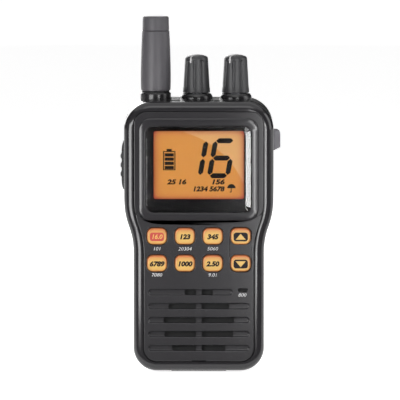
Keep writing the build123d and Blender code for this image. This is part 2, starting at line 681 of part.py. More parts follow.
def make_speaker_frame():
    """Flat rim, a basket in two steps and the lip that holds the magnet."""
    front = FRONT_WALL_Y + MEMBRANE_THICKNESS
    back = front + SPEAKER_DEPTH
    wall = SPEAKER_R - SPEAKER_SEAT_R
    return turned_along_y(SOUND_Z, (
        (SPEAKER_SEAT_R, front), (SPEAKER_R, front), (SPEAKER_R, front + SPEAKER_FLANGE + wall),
        (SPEAKER_BASKET_R, front + SPEAKER_FLANGE + wall), (SPEAKER_BASKET_R, back),
        (MAGNET_R - SPEAKER_LIP, back), (MAGNET_R - SPEAKER_LIP, back - wall),
        (SPEAKER_BASKET_R - wall, back - wall), (SPEAKER_BASKET_R - wall, front + SPEAKER_FLANGE),
        (SPEAKER_SEAT_R, front + SPEAKER_FLANGE)))


def make_speaker_cone():
    """Thin flat diaphragm with a raised middle, held at its rim by the basket's step."""
    back = FRONT_WALL_Y + MEMBRANE_THICKNESS + SPEAKER_FLANGE - GAP / 4
    front = back - CONE_THICKNESS
    inner = CONE_INNER_R - CONE_THICKNESS
    rim = SPEAKER_SEAT_R - GAP / 4
    return turned_along_y(SOUND_Z, (
        (0, back + CONE_DEPTH - CONE_THICKNESS), (inner, back + CONE_DEPTH - CONE_THICKNESS), (inner, front),
        (rim, front), (rim, back), (CONE_INNER_R, back), (CONE_INNER_R, back + CONE_DEPTH),
        (0, back + CONE_DEPTH)))


def make_speaker_magnet():
    back = FRONT_WALL_Y + MEMBRANE_THICKNESS + SPEAKER_DEPTH
    return along_y(0, SOUND_Z, back, back + MAGNET_HEIGHT, MAGNET_R)


def make_microphone():
    return along_y(MIC_X, MIC_Z, FRONT_WALL_Y, CONTROL_BOARD_Y, MIC_CAPSULE_R)


# ---------------------------------------------------------------- boards
def make_control_board():
    keep = Pos(0, CONTROL_BOARD_BOTTOM + PLENTY / 2) * Rectangle(PLENTY, PLENTY)
    face = body_outline(WALL + BOARD_MARGIN) & keep
    tab_height = CONTROL_BOARD_BOTTOM - MIC_Z + MIC_CAPSULE_R
    tab_width = 2 * MIC_CAPSULE_R + 1
    face += Pos(MIC_X, CONTROL_BOARD_BOTTOM - tab_height / 2 + 0.5) * Rectangle(tab_width, tab_height + 1)
    x, z = UPPER_SCREW
    for side in (-1, 1):
        face -= Pos(side * (x - BOSS_R - GAP + PLENTY / 2), z) * Rectangle(PLENTY, 2 * (BOSS_R + GAP))
    return slab(face, CONTROL_BOARD_Y, CONTROL_BOARD_BACK_Y)


def make_radio_board():
    height = RADIO_BOARD_TOP - RADIO_BOARD_BOTTOM
    keep = Pos(0, RADIO_BOARD_BOTTOM + height / 2) * Rectangle(PLENTY, height)
    face = body_outline(WALL + RADIO_BOARD_MARGIN) & keep
    x, z = LOWER_SCREW
    for side in (-1, 1):
        face -= Pos(side * x, z) * Rectangle(2 * BOSS_R + 4 * GAP, 2 * BOSS_R + 4 * GAP)
    return slab(face, RADIO_BOARD_Y, BACK_WALL_Y)


def make_rf_shield():
    half = SHIELD_WIDTH / 2
    front = RADIO_BOARD_Y - SHIELD_HEIGHT
    can = block(-half, half, front, RADIO_BOARD_Y, SHIELD_BOTTOM, SHIELD_TOP)
    can -= block(-half + SHIELD_WALL, half - SHIELD_WALL, front + SHIELD_WALL, RADIO_BOARD_Y,
                 SHIELD_BOTTOM + SHIELD_WALL, SHIELD_TOP - SHIELD_WALL)
    return can


def make_board_connector():
    half = CONNECTOR_WIDTH / 2
    rise = CONNECTOR_HEIGHT / 2
    return block(-half, half, CONTROL_BOARD_BACK_Y, RADIO_BOARD_Y, CONNECTOR_Z - rise, CONNECTOR_Z + rise)


# ---------------------------------------------------------------- knobs
def make_pot(x):
    body = block(x - POT_R, x + POT_R, TOP_LINE_Y - POT_R, TOP_LINE_Y + POT_R,
                 TOP_INNER_Z - POT_HEIGHT, TOP_INNER_Z)
    body += post(x, TOP_LINE_Y, TOP_INNER_Z, COLLAR_TOP_Z + NUT_HEIGHT + 0.4, BUSHING_R)
    return body - post(x, TOP_LINE_Y, TOP_INNER_Z - POT_HEIGHT / 2, PLENTY, SHAFT_R + SHAFT_FIT)


def make_pot_nuts():
    nuts = []
    for x in (VOLUME_X, SQUELCH_X):
        nut = hex_prism(x, TOP_LINE_Y, COLLAR_TOP_Z, COLLAR_TOP_Z + NUT_HEIGHT, NUT_R)
        nuts.append(nut - post(x, TOP_LINE_Y, COLLAR_TOP_Z, PLENTY, BUSHING_R + 0.02))
    return Compound(children=nuts)


def make_shaft_seals():
    rings = []
    z = TOP_INNER_Z + SEAL_SECTION_R
    inner = BUSHING_R + 0.02
    for x in (VOLUME_X, SQUELCH_X):
        ring = post(x, TOP_LINE_Y, z - SEAL_SECTION_R, z + SEAL_SECTION_R, inner + 1.6 * SEAL_SECTION_R)
        rings.append(ring - post(x, TOP_LINE_Y, 0, PLENTY, inner))
    return Compound(children=rings)


def make_shaft(x):
    low = TOP_INNER_Z - POT_HEIGHT / 2 + GAP
    high = KNOB_BOTTOM_Z + KNOB_POCKET_DEPTH + SHAFT_GRIP
    shaft = post(x, TOP_LINE_Y, low, high, SHAFT_R)
    flat = block(x - SHAFT_R, x + SHAFT_R, TOP_LINE_Y + SHAFT_R / 2, TOP_LINE_Y + SHAFT_R,
                 KNOB_BOTTOM_Z + KNOB_POCKET_DEPTH, high)
    return shaft - flat


def knob_radius(height):
    """Radius of the knob's cone at a height above its lower edge."""
    return KNOB_BOTTOM_R + (KNOB_TOP_R - KNOB_BOTTOM_R) * height / (KNOB_HEIGHT - KNOB_DOME)


def make_knob(x, shaft):
    """Tapered knob with flutes, a domed top and a pointer groove."""
    shoulder = KNOB_TOP_Z - KNOB_DOME
    knob = revolved(x, TOP_LINE_Y, (
        (0, KNOB_BOTTOM_Z), (KNOB_BOTTOM_R, KNOB_BOTTOM_Z), (KNOB_TOP_R, shoulder),
        (KNOB_TOP_R - KNOB_EDGE_R, shoulder + KNOB_DOME / 2), (0, KNOB_TOP_Z)))
    low = knob_radius(FLUTE_START) + FLUTE_R - FLUTE_DEPTH
    high = knob_radius(FLUTE_END) + FLUTE_R - FLUTE_DEPTH
    lean = math.degrees(math.atan2(low - high, FLUTE_END - FLUTE_START))
    length = math.hypot(low - high, FLUTE_END - FLUTE_START)
    middle = KNOB_BOTTOM_Z + (FLUTE_START + FLUTE_END) / 2
    prism = extrude(RegularPolygon(FLUTE_R, 8), amount=length / 2, both=True)
    cutters = []
    for i in range(FLUTES):
        turn = POINTER_ANGLE + (i + 0.5) * 360 / FLUTES
        cutters.append(Rot(0, 0, turn) * Pos((low + high) / 2, 0, middle) * Rot(0, -lean, 0) * prism)
    cutters.append(Rot(0, 0, POINTER_ANGLE) * block(
        KNOB_TOP_R - KNOB_EDGE_R, KNOB_BOTTOM_R, -POINTER_WIDTH / 2, POINTER_WIDTH / 2,
        KNOB_BOTTOM_Z + FLUTE_END, KNOB_TOP_Z))
    knob -= [Pos(x, TOP_LINE_Y, 0) * cutter for cutter in cutters]
    knob -= post(x, TOP_LINE_Y, KNOB_BOTTOM_Z, KNOB_BOTTOM_Z + KNOB_POCKET_DEPTH, KNOB_POCKET_R)
    return knob - shaft


# ---------------------------------------------------------------- antenna
def make_antenna_socket():
    socket = post(ANTENNA_X, TOP_LINE_Y, SOCKET_BOTTOM_Z, ANTENNA_COLLAR_Z, SOCKET_R)
    return socket - post(ANTENNA_X, TOP_LINE_Y, ANTENNA_COLLAR_Z - STUD_REACH, PLENTY, STUD_R + SHAFT_FIT)


def make_antenna_seal():
    seal = post(ANTENNA_X, TOP_LINE_Y, ANTENNA_SEAL_Z, ANTENNA_SEAL_Z + ANTENNA_SEAL_THICKNESS,
                ANTENNA_SEAL_R)
    return seal - post(ANTENNA_X, TOP_LINE_Y, 0, PLENTY, STUD_R + SHAFT_FIT)


def make_antenna_stud():
    return post(ANTENNA_X, TOP_LINE_Y, ANTENNA_COLLAR_Z - STUD_REACH + GAP, SHEATH_Z + STUD_GRIP, STUD_R)


def make_antenna_sheath(stud):
    """Rubber sheath, widest a little above its foot and drawn in towards the cap."""
    sheath = revolved(ANTENNA_X, TOP_LINE_Y, (
        (0, SHEATH_Z), (SHEATH_BASE_R, SHEATH_Z), (SHEATH_WAIST_R, SHEATH_WAIST_Z),
        (SHEATH_TOP_R, SHEATH_TOP_Z), (0, SHEATH_TOP_Z)))
    sheath -= post(ANTENNA_X, TOP_LINE_Y, SHEATH_TOP_Z - CAP_SPIGOT_LENGTH, PLENTY, CAP_SPIGOT_R)
    return sheath - stud


def make_antenna_cap():
    foot_z = SHEATH_TOP_Z + GAP / 4
    inner = SHEATH_TOP_R - 0.15
    cap = revolved(ANTENNA_X, TOP_LINE_Y, (
        (0, foot_z), (inner, foot_z), (ANTENNA_TOP_R, ANTENNA_TOP_Z - ANTENNA_END_ROUND),
        (ANTENNA_TOP_R - ANTENNA_END_ROUND, ANTENNA_TOP_Z), (0, ANTENNA_TOP_Z)))
    spigot = post(ANTENNA_X, TOP_LINE_Y, SHEATH_TOP_Z - CAP_SPIGOT_LENGTH, foot_z, CAP_SPIGOT_R - GAP / 4)
    return cap + spigot


# ---------------------------------------------------------------- talk button
def make_talk_button():
    """Side button: a crowned pad with three ribs, a flange inside the wall and a plunger."""
    top = TALK_BOTTOM + TALK_LENGTH
    face_x = -SIDE_X - TALK_PROUD
    root_x = -SIDE_INNER_X
    with BuildSketch(Plane.XZ) as profile:
        with BuildLine():
            Line((root_x, TALK_BOTTOM), (-SIDE_X, TALK_BOTTOM))
            ThreePointArc((-SIDE_X, TALK_BOTTOM),
                          (-SIDE_X - 0.8 * TALK_PROUD, TALK_BOTTOM + 0.5 * TALK_END_RUN),
                          (face_x, TALK_BOTTOM + TALK_END_RUN))
            Line((face_x, TALK_BOTTOM + TALK_END_RUN), (face_x, top - TALK_END_RUN))
            ThreePointArc((face_x, top - TALK_END_RUN),
                          (-SIDE_X - 0.8 * TALK_PROUD, top - 0.5 * TALK_END_RUN), (-SIDE_X, top))
            Line((-SIDE_X, top), (root_x, top))
            Line((root_x, top), (root_x, TALK_BOTTOM))
        make_face()
    half = TALK_WIDTH / 2
    middle = TALK_BOTTOM + TALK_LENGTH / 2
    button = extrude(Pos(0, SIDE_LINE_Y, 0) * profile.sketch, amount=half, both=True)
    button &= talk_prism(0)
    for i in (-1, 0, 1):
        z = middle + i * TALK_RIB_PITCH
        rib = block(face_x - TALK_RIB_PROUD, face_x + 0.5, SIDE_LINE_Y - half + 1, SIDE_LINE_Y + half - 1,
                    z - TALK_RIB_LENGTH / 2, z + TALK_RIB_LENGTH / 2)
        button += chamfer(rib.edges().group_by(Axis.X)[0], TALK_RIB_PROUD - 0.1)
    flange_x = root_x + GAP / 2
    button += talk_prism(0) & block(root_x - 1, flange_x, -PLENTY, PLENTY, 0, PLENTY)
    button += block(flange_x, flange_x + TALK_FLANGE_THICKNESS,
                    SIDE_LINE_Y - half - TALK_FLANGE, SIDE_LINE_Y + half + TALK_FLANGE,
                    TALK_BOTTOM - TALK_FLANGE, top + TALK_FLANGE)
    tip = flange_x + TALK_FLANGE_THICKNESS
    return button + along_x(tip, tip + TALK_PLUNGER, SIDE_LINE_Y, middle, 1.5)


def make_talk_switch():
    near = -SIDE_INNER_X + GAP / 2 + TALK_FLANGE_THICKNESS + TALK_PLUNGER + TALK_TRAVEL + GAP / 2
    middle = TALK_BOTTOM + TALK_LENGTH / 2
    half = SWITCH_LENGTH / 2
    return block(near, near + SWITCH_DEPTH, SIDE_LINE_Y - 2, RADIO_BOARD_Y, middle - half, middle + half)


# ---------------------------------------------------------------- accessory jack
def make_accessory_jack():
    mouth = SIDE_INNER_X - GAP / 2
    half = JACK_BODY_HEIGHT / 2
    body = block(mouth - JACK_BODY_LENGTH, mouth, SIDE_LINE_Y - half, RADIO_BOARD_Y,
                 JACK_Z - half, JACK_Z + half)
    return body - along_x(mouth - JACK_DEPTH, mouth, SIDE_LINE_Y, JACK_Z, JACK_R)


def make_jack_cover():
    """Rubber flap over the jack: rounded above, sloping below, with a short plug."""
    inner = SIDE_X + GAP / 4
    outer = inner + COVER_PROUD
    low = JACK_Z - COVER_LENGTH / 2
    high = JACK_Z + COVER_LENGTH / 2
    with BuildSketch(Plane.XZ) as profile:
        with BuildLine():
            Line((inner, low), (inner, high))
            Line((inner, high), (outer - COVER_ROUND, high))
            CenterArc((outer - COVER_ROUND, high - COVER_ROUND), COVER_ROUND, 0, 90)
            Line((outer, high - COVER_ROUND), (outer, low + COVER_SLOPE))
            Line((outer, low + COVER_SLOPE), (inner, low))
        make_face()
    half = COVER_WIDTH / 2
    cover = extrude(Pos(0, SIDE_LINE_Y, 0) * profile.sketch, amount=half, both=True)
    cover = fillet(cover.edges().filter_by(Axis.Z).group_by(Axis.X)[-1], 0.8)
    plug = JACK_WINDOW / 2 - COVER_PLUG_FIT
    return cover + block(SIDE_X - COVER_PLUG, inner, SIDE_LINE_Y - plug, SIDE_LINE_Y + plug,
                         JACK_Z - plug, JACK_Z + plug)


# ---------------------------------------------------------------- battery
def battery_region():
    return block(-PLENTY, PLENTY, BATTERY_FACE_Y + GAP, PLENTY, -1, BATTERY_TOP - GAP)


def make_battery_case(form):
    """Back shell of the battery, with two pivot bars at its foot and a notch for the latch tongue."""
    case = form & battery_region()
    half = FOOT_WIDTH / 2
    case += block(-half, half, BATTERY_FACE_Y + 1.5, BACK_Y - EDGE_R - 1, 0, FOOT_HEIGHT + 1)
    case -= slab(cell_space(), BATTERY_FACE_Y, BACK_Y - 2 * BATTERY_WALL)
    tongue_half = TONGUE_WIDTH / 2 + 2 * GAP
    case -= block(-tongue_half, tongue_half, LATCH_POCKET_Y - GAP,
                  LATCH_POCKET_Y + TONGUE_THICKNESS + 3 * GAP,
                  BATTERY_TOP - TONGUE_REACH - 2 * GAP, BATTERY_TOP)
    slope = math.tan(math.radians(BATTERY_TILT + TILT_MARGIN))
    drop = PIVOT_Z + 1
    face_y = BATTERY_FACE_Y + GAP
    wedge = Polyline((face_y, PIVOT_Z), (face_y + drop * slope, PIVOT_Z - drop),
                     (PIVOT_Y, PIVOT_Z - drop), (PIVOT_Y, PIVOT_Z), close=True)
    case -= extrude(Plane.YZ * make_face(wedge), amount=PLENTY, both=True)
    for side in (-1, 1):
        low = side * PIVOT_X - PIVOT_LENGTH / 2
        high = side * PIVOT_X + PIVOT_LENGTH / 2
        case += along_x(low, high, PIVOT_Y, PIVOT_Z, PIVOT_R)
        case += block(low, high, PIVOT_Y, BATTERY_FACE_Y + 1, PIVOT_Z, PIVOT_Z + PIVOT_R - GAP)
    for z in clip_screw_heights():
        case -= along_y(0, z, BACK_Y - CLIP_SCREW_LENGTH, BACK_Y, CLIP_SCREW_R)
    return case


def cell_space(inset=0.0):
    """Front view of the hollow for the cells, closed by the lid."""
    half = LOWER_WIDTH / 2 - BATTERY_WALL - inset
    low = PIVOT_Z + PIVOT_R + 2 * BATTERY_WALL + inset
    top = BATTERY_TOP - LATCH_FLOOR - BATTERY_WALL - inset
    corner = BOTTOM_CORNER_R / 2
    outline = Polyline((-half, low + corner), (-half + corner, low), (half - corner, low),
                       (half, low + corner), (half, top), (-half, top), close=True)
    return make_face(outline)


def make_battery_lid():
    lid = slab(cell_space(GAP / 2), BATTERY_FACE_Y + GAP, BATTERY_FACE_Y + GAP + LID_THICKNESS)
    return lid - terminal_pockets()


def terminal_pockets():
    half = CONTACT_PAD / 2 + GAP / 4
    front = BATTERY_FACE_Y + GAP
    return [block(x - half, x + half, front, front + LID_THICKNESS / 2, CONTACT_Z - half, CONTACT_Z + half)
            for x in contact_columns()]


def contact_columns():
    return [(i - 1) * CONTACT_PITCH for i in range(3)]


def make_battery_terminals():
    half = CONTACT_PAD / 2
    front = BATTERY_FACE_Y + GAP
    pads = [block(x - half, x + half, front, front + LID_THICKNESS / 2, CONTACT_Z - half, CONTACT_Z + half)
            for x in contact_columns()]
    return Compound(children=pads)


def make_battery_cells():
    front = BATTERY_FACE_Y + GAP + LID_THICKNESS
    half = CELL_WIDTH / 2
    cells = []
    for i in range(2):
        low = CELL_LOWEST_Z + i * (CELL_LENGTH + CELL_GAP)
        cells.append(block(-half, half, front, front + CELL_THICKNESS, low, low + CELL_LENGTH))
    return Compound(children=cells)


def make_contact_block():
    half = CONTACT_WIDTH / 2
    rise = CONTACT_HEIGHT / 2
    contacts = block(-half, half, BACK_WALL_Y, BATTERY_FACE_Y - GAP / 2, CONTACT_Z - rise, CONTACT_Z + rise)
    half = CONTACT_PAD / 2
    for x in contact_columns():
        contacts -= block(x - half, x + half, BACK_WALL_Y + 1, PLENTY, CONTACT_Z - half, CONTACT_Z + half)
    return contacts


def make_battery_contacts():
    half = CONTACT_PAD / 2
    pins = [block(x - half, x + half, BACK_WALL_Y + 1, BATTERY_FACE_Y + GAP / 2,
                  CONTACT_Z - half, CONTACT_Z + half) for x in contact_columns()]
    return Compound(children=pins)


# ---------------------------------------------------------------- battery latch
def make_battery_latch():
    """Thumb plate in the upper block, with a flange that holds it and a tongue that goes down
    into the battery. It is drawn slid up, with the battery free to tilt."""
    half = LATCH_WIDTH / 2
    front = LATCH_POCKET_Y + GAP
    back = front + LATCH_PLATE_THICKNESS - GAP
    low = LATCH_Z + LATCH_TRAVEL
    plate = block(-half, half, front, back, low, low + LATCH_LENGTH)
    for i in range(LATCH_RIBS):
        z = low + (i + 1) * LATCH_LENGTH / (LATCH_RIBS + 1)
        plate -= block(-half, half, back - 0.5, back, z - 0.5, z + 0.5)
    wide = half + LATCH_FLANGE
    plate += block(-wide, wide, front, front + LATCH_FLANGE_THICKNESS, low, low + LATCH_LENGTH)
    tongue = block(-TONGUE_WIDTH / 2, TONGUE_WIDTH / 2, front, front + TONGUE_THICKNESS,
                   BATTERY_TOP - TONGUE_REACH + LATCH_TRAVEL, low)
    return plate + tongue


# ---------------------------------------------------------------- belt clip
def clip_screw_heights():
    middle = CLIP_PIN_Z - BRACKET_DROP
    return (middle - CLIP_SCREW_PITCH / 2, middle + CLIP_SCREW_PITCH / 2)


def ear_profile(y_root, radius, spread):
    """Side view of an ear: a round eye that widens towards its plate."""
    eye = Pos(CLIP_PIN_Y, CLIP_PIN_Z) * Circle(radius)
    leg = Polyline((CLIP_PIN_Y, CLIP_PIN_Z + radius), (y_root, CLIP_PIN_Z + radius),
                   (y_root, CLIP_PIN_Z - radius - spread), (CLIP_PIN_Y, CLIP_PIN_Z - radius), close=True)
    return eye + make_face(leg)


def side_prism(face, x_low, x_high):
    """Extrude a face drawn in y and z between two x values."""
    return extrude(Plane.YZ.offset(x_low) * face, amount=x_high - x_low)


def make_clip_bracket():
    """Plate screwed to the battery, with two ears between the clip's own."""
    ear_centre = CLIP_EAR_SPACING / 2 - CLIP_EAR_WIDTH / 2 - GAP - BRACKET_EAR_WIDTH / 2
    half = ear_centre + BRACKET_EAR_WIDTH / 2
    top = CLIP_PIN_Z - COIL_R - 2 * COIL_WIRE_R
    low = clip_screw_heights()[0] - BRACKET_MARGIN
    bracket = slab(Pos(0, (top + low) / 2) * RectangleRounded(2 * half, top - low, 1.0),
                   BACK_Y, BACK_Y + BRACKET_THICKNESS)
    for side in (-1, 1):
        x = side * ear_centre
        bracket += side_prism(ear_profile(BACK_Y, BRACKET_EYE_R, BRACKET_EAR_SPREAD),
                              x - BRACKET_EAR_WIDTH / 2, x + BRACKET_EAR_WIDTH / 2)
    bracket -= along_x(-half, half, CLIP_PIN_Y, CLIP_PIN_Z, CLIP_PIN_R)
    for z in clip_screw_heights():
        bracket -= along_y(0, z, BACK_Y, PLENTY, CLIP_SCREW_R + GAP / 2)
    return bracket


def make_clip_screws():
    screws = []
    seat = BACK_Y + BRACKET_THICKNESS
    for z in clip_screw_heights():
        screw = along_y(0, z, BACK_Y - CLIP_SCREW_LENGTH + GAP, seat, CLIP_SCREW_R)
        screws.append(screw + along_y(0, z, seat, seat + SCREW_HEAD_HEIGHT, CLIP_SCREW_HEAD_R))
    return Compound(children=screws)


def make_clip_pin():
    reach = CLIP_EAR_SPACING / 2 + CLIP_EAR_WIDTH / 2 + GAP
    return along_x(-reach, reach, CLIP_PIN_Y, CLIP_PIN_Z, CLIP_PIN_R)


def make_belt_clip():
    """Long tapered plate with two ears, a thumb end above and an inward bead below."""
    back = CLIP_Y + CLIP_THICKNESS
    shoulder = CLIP_TOP_Z - CLIP_HEAD_LENGTH
    with BuildSketch() as outline:
        with BuildLine():
            Polyline((-CLIP_BOTTOM_WIDTH / 2, CLIP_BOTTOM_Z), (CLIP_BOTTOM_WIDTH / 2, CLIP_BOTTOM_Z),
                     (CLIP_TOP_WIDTH / 2, shoulder), (CLIP_TOP_WIDTH / 2, CLIP_TOP_Z),
                     (-CLIP_TOP_WIDTH / 2, CLIP_TOP_Z), (-CLIP_TOP_WIDTH / 2, shoulder), close=True)
        make_face()
        fillet(outline.vertices(), CLIP_CORNER_R)
    clip = slab(outline.sketch, CLIP_Y, back)
    bead_y = BACK_Y + CLIP_BEAD_R + 0.25
    bead_z = CLIP_BOTTOM_Z + CLIP_BEAD_RISE
    hook = Pos(bead_y, bead_z) * Circle(CLIP_BEAD_R)
    hook += make_face(Polyline((bead_y, bead_z - CLIP_BEAD_R), (CLIP_Y + 0.5, bead_z - 5),
                               (CLIP_Y + 0.5, bead_z + 5), (bead_y, bead_z + CLIP_BEAD_R), close=True))
    half = CLIP_BOTTOM_WIDTH / 2 - 1.5
    clip += side_prism(hook, -half, half)
    for side in (-1, 1):
        x = side * CLIP_EAR_SPACING / 2
        clip += side_prism(ear_profile(CLIP_Y + CLIP_THICKNESS / 2, CLIP_EAR_R, 1.0),
                           x - CLIP_EAR_WIDTH / 2, x + CLIP_EAR_WIDTH / 2)
    reach = CLIP_TOP_WIDTH
    return clip - along_x(-reach, reach, CLIP_PIN_Y, CLIP_PIN_Z, CLIP_PIN_R + SHAFT_FIT)


def make_clip_spring():
    """Torsion coil round the pin, a leg on the bracket and a leg behind the clip's thumb end."""
    pitch = 2 * COIL_WIRE_R
    start = -COIL_TURNS * COIL_WIRE_R
    inner = COIL_R - COIL_WIRE_R
    outer = COIL_R + COIL_WIRE_R
    points = [(inner, start)]
    for i in range(COIL_TURNS):
        low = start + i * pitch
        points.append((outer - COIL_WIRE_R / 2, low))
        points.append((outer, low + pitch / 2))
    points.append((outer - COIL_WIRE_R / 2, -start))
    points.append((inner, -start))
    coil = revolve(Plane.XZ * make_face(Polyline(*points, close=True)), Axis.Z)
    coil = Pos(0, CLIP_PIN_Y, CLIP_PIN_Z) * Rot(0, 90, 0) * coil
    x = -start - COIL_WIRE_R
    coil += post(x, CLIP_PIN_Y - COIL_R, CLIP_PIN_Z - COIL_LEG, CLIP_PIN_Z, COIL_WIRE_R)
    return coil + post(-x, CLIP_PIN_Y + COIL_R, CLIP_PIN_Z, CLIP_PIN_Z + COIL_LEG, COIL_WIRE_R)


# ---------------------------------------------------------------- write the pieces
def build():
    form = body_form()
    stud = make_antenna_stud()
    nodes = {
        "front_case": make_front_case(form),
        "rear_case": make_rear_case(form),
        "case_gasket": make_case_gasket(),
        "case_screws": make_case_screws(),
        "front_panel": make_front_panel(),
        "display_surround": make_display_surround(),
        "display_lens": make_display_lens(),
        "lcd_glass": make_lcd_glass(),
        "backlight_guide": make_backlight_guide(),
        "keypad_mat": make_keypad_mat(),
        "speaker_membrane": make_speaker_membrane(),
        "speaker_frame": make_speaker_frame(),
        "speaker_cone": make_speaker_cone(),
        "speaker_magnet": make_speaker_magnet(),
        "microphone": make_microphone(),
        "control_board": make_control_board(),
        "radio_board": make_radio_board(),
        "rf_shield": make_rf_shield(),
        "board_connector": make_board_connector(),
        "pot_nuts": make_pot_nuts(),
        "shaft_seals": make_shaft_seals(),
        "antenna_socket": make_antenna_socket(),
        "antenna_seal": make_antenna_seal(),
        "antenna_stud": stud,
        "antenna_sheath": make_antenna_sheath(stud),
        "antenna_cap": make_antenna_cap(),
        "talk_button": make_talk_button(),
        "talk_switch": make_talk_switch(),
        "accessory_jack": make_accessory_jack(),
        "jack_cover": make_jack_cover(),
        "battery_case": make_battery_case(form),
        "battery_lid": make_battery_lid(),
        "battery_terminals": make_battery_terminals(),
        "battery_cells": make_battery_cells(),
        "contact_block": make_contact_block(),
        "battery_contacts": make_battery_contacts(),
        "battery_latch": make_battery_latch(),
        "clip_bracket": make_clip_bracket(),
        "clip_screws": make_clip_screws(),
        "clip_pin": make_clip_pin(),
        "belt_clip": make_belt_clip(),
        "clip_spring": make_clip_spring(),
    }
    for name, x, z in key_centres():
        nodes["key_" + name] = make_key(x, z)
    for name, x in (("volume", VOLUME_X), ("squelch", SQUELCH_X)):
        shaft = make_shaft(x)
        nodes[name + "_pot"] = make_pot(x)
        nodes[name + "_shaft"] = shaft
        nodes[name + "_knob"] = make_knob(x, shaft)
    return nodes


def main():
    os.makedirs("parts", exist_ok=True)
    for name, solid in build().items():
        export_step(solid, "parts/" + name + ".step")


main()
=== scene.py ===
"""Looks of a handheld marine radio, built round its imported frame.

The front faces -Y, +X is to the right seen from the front and +Z is up. Lengths in the helpers are
millimetres; the user's sizes are metres, as Blender keeps them.
"""

import json
import math

import bpy
from mathutils import Matrix, Vector


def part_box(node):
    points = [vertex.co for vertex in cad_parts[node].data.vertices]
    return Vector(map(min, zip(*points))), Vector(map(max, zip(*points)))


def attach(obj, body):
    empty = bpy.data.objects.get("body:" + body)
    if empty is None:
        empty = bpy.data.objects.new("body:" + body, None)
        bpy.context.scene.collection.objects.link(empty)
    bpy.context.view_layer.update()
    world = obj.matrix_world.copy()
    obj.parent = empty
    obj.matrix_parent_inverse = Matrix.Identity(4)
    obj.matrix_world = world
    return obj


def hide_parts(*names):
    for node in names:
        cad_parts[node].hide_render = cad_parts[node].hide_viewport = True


bl_info = {
    "name": "Handheld marine radio",
    "version": (1, 0, 0),
    "blender": (4, 5, 0),
    "location": "View3D > Sidebar > Radio",
    "description": "Builds the visible pieces, finishes, light and camera of a handheld marine radio",
    "category": "Object",
}

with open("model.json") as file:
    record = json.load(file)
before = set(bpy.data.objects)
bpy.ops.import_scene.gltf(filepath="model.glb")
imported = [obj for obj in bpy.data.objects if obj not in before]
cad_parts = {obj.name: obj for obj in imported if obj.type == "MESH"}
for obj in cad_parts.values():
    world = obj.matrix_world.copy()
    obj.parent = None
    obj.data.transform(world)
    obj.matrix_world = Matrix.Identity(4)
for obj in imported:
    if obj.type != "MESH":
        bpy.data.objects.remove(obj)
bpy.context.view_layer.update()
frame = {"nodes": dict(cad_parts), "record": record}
MM = 0.001

# Depths shared with the frame, in millimetres
FRONT_Y = -19.0
BACK_Y = 19.0
PANEL_BACK_Y = -17.2
FRONT_WALL_Y = -15.8
SEAM_FRONT_Y = -8.0
SEAM_BACK_Y = -7.4
BATTERY_FACE_Y = 9.0
BACK_WALL_Y = 6.0
RIDGE_Y = -19.8
GAP = 0.2
FAR = 200.0

# Places shared by two or more pieces, in millimetres
KEYS = {
    "key_red": (-17.85, 58.6), "key_weather": (-5.95, 58.6), "key_channel": (5.95, 58.6),
    "key_up": (17.85, 58.6), "key_scan": (-17.85, 47.0), "key_memory": (-5.95, 47.0),
    "key_power": (5.95, 47.0), "key_down": (17.85, 47.0)}
KEY_FIT = 0.5              # how much wider a key's hole is than the key
MIC_X, MIC_Z = 18.8, 35.4
TOP_LINE_Y = 4.0           # the antenna and the knobs stand on this line
ANTENNA_X = -18.5
KNOBS_X = {"volume": -1.0, "squelch": 15.8}
COLLAR_TOP = 118.1
SIDE_LINE_Y = -0.4         # middle of the talk button and of the jack
SPLIT_Z = 88.0             # the battery ends here and the rear case's upper block begins
HOOKS_X = (-10.5, 10.5)    # the battery hangs on two bars at its foot
HOOK_Y, HOOK_Z = 8.55, 3.4


# ---------------------------------------------------------------- what a user may change
def length(label, about, default):
    """A length in metres for the sidebar, given in millimetres."""
    return bpy.props.FloatProperty(name=label, description=about, default=default * MM, min=0.0,
                                   precision=5, unit="LENGTH", subtype="DISTANCE")


def linear(hex_value):
    """Linear colour of an sRGB hex value."""
    parts = [int(hex_value[i:i + 2], 16) / 255 for i in (1, 3, 5)]
    return tuple(p / 12.92 if p <= 0.04045 else ((p + 0.055) / 1.055) ** 2.4 for p in parts)


def hue(hex_value):
    """Linear colour of an sRGB hex value with alpha, as a shader's socket takes it."""
    return (*linear(hex_value), 1.0)


def colour(label, about, hex_value):
    """A colour for the sidebar."""
    return bpy.props.FloatVectorProperty(name=label, description=about, default=linear(hex_value),
                                         size=3, min=0.0, max=1.0, subtype="COLOR")


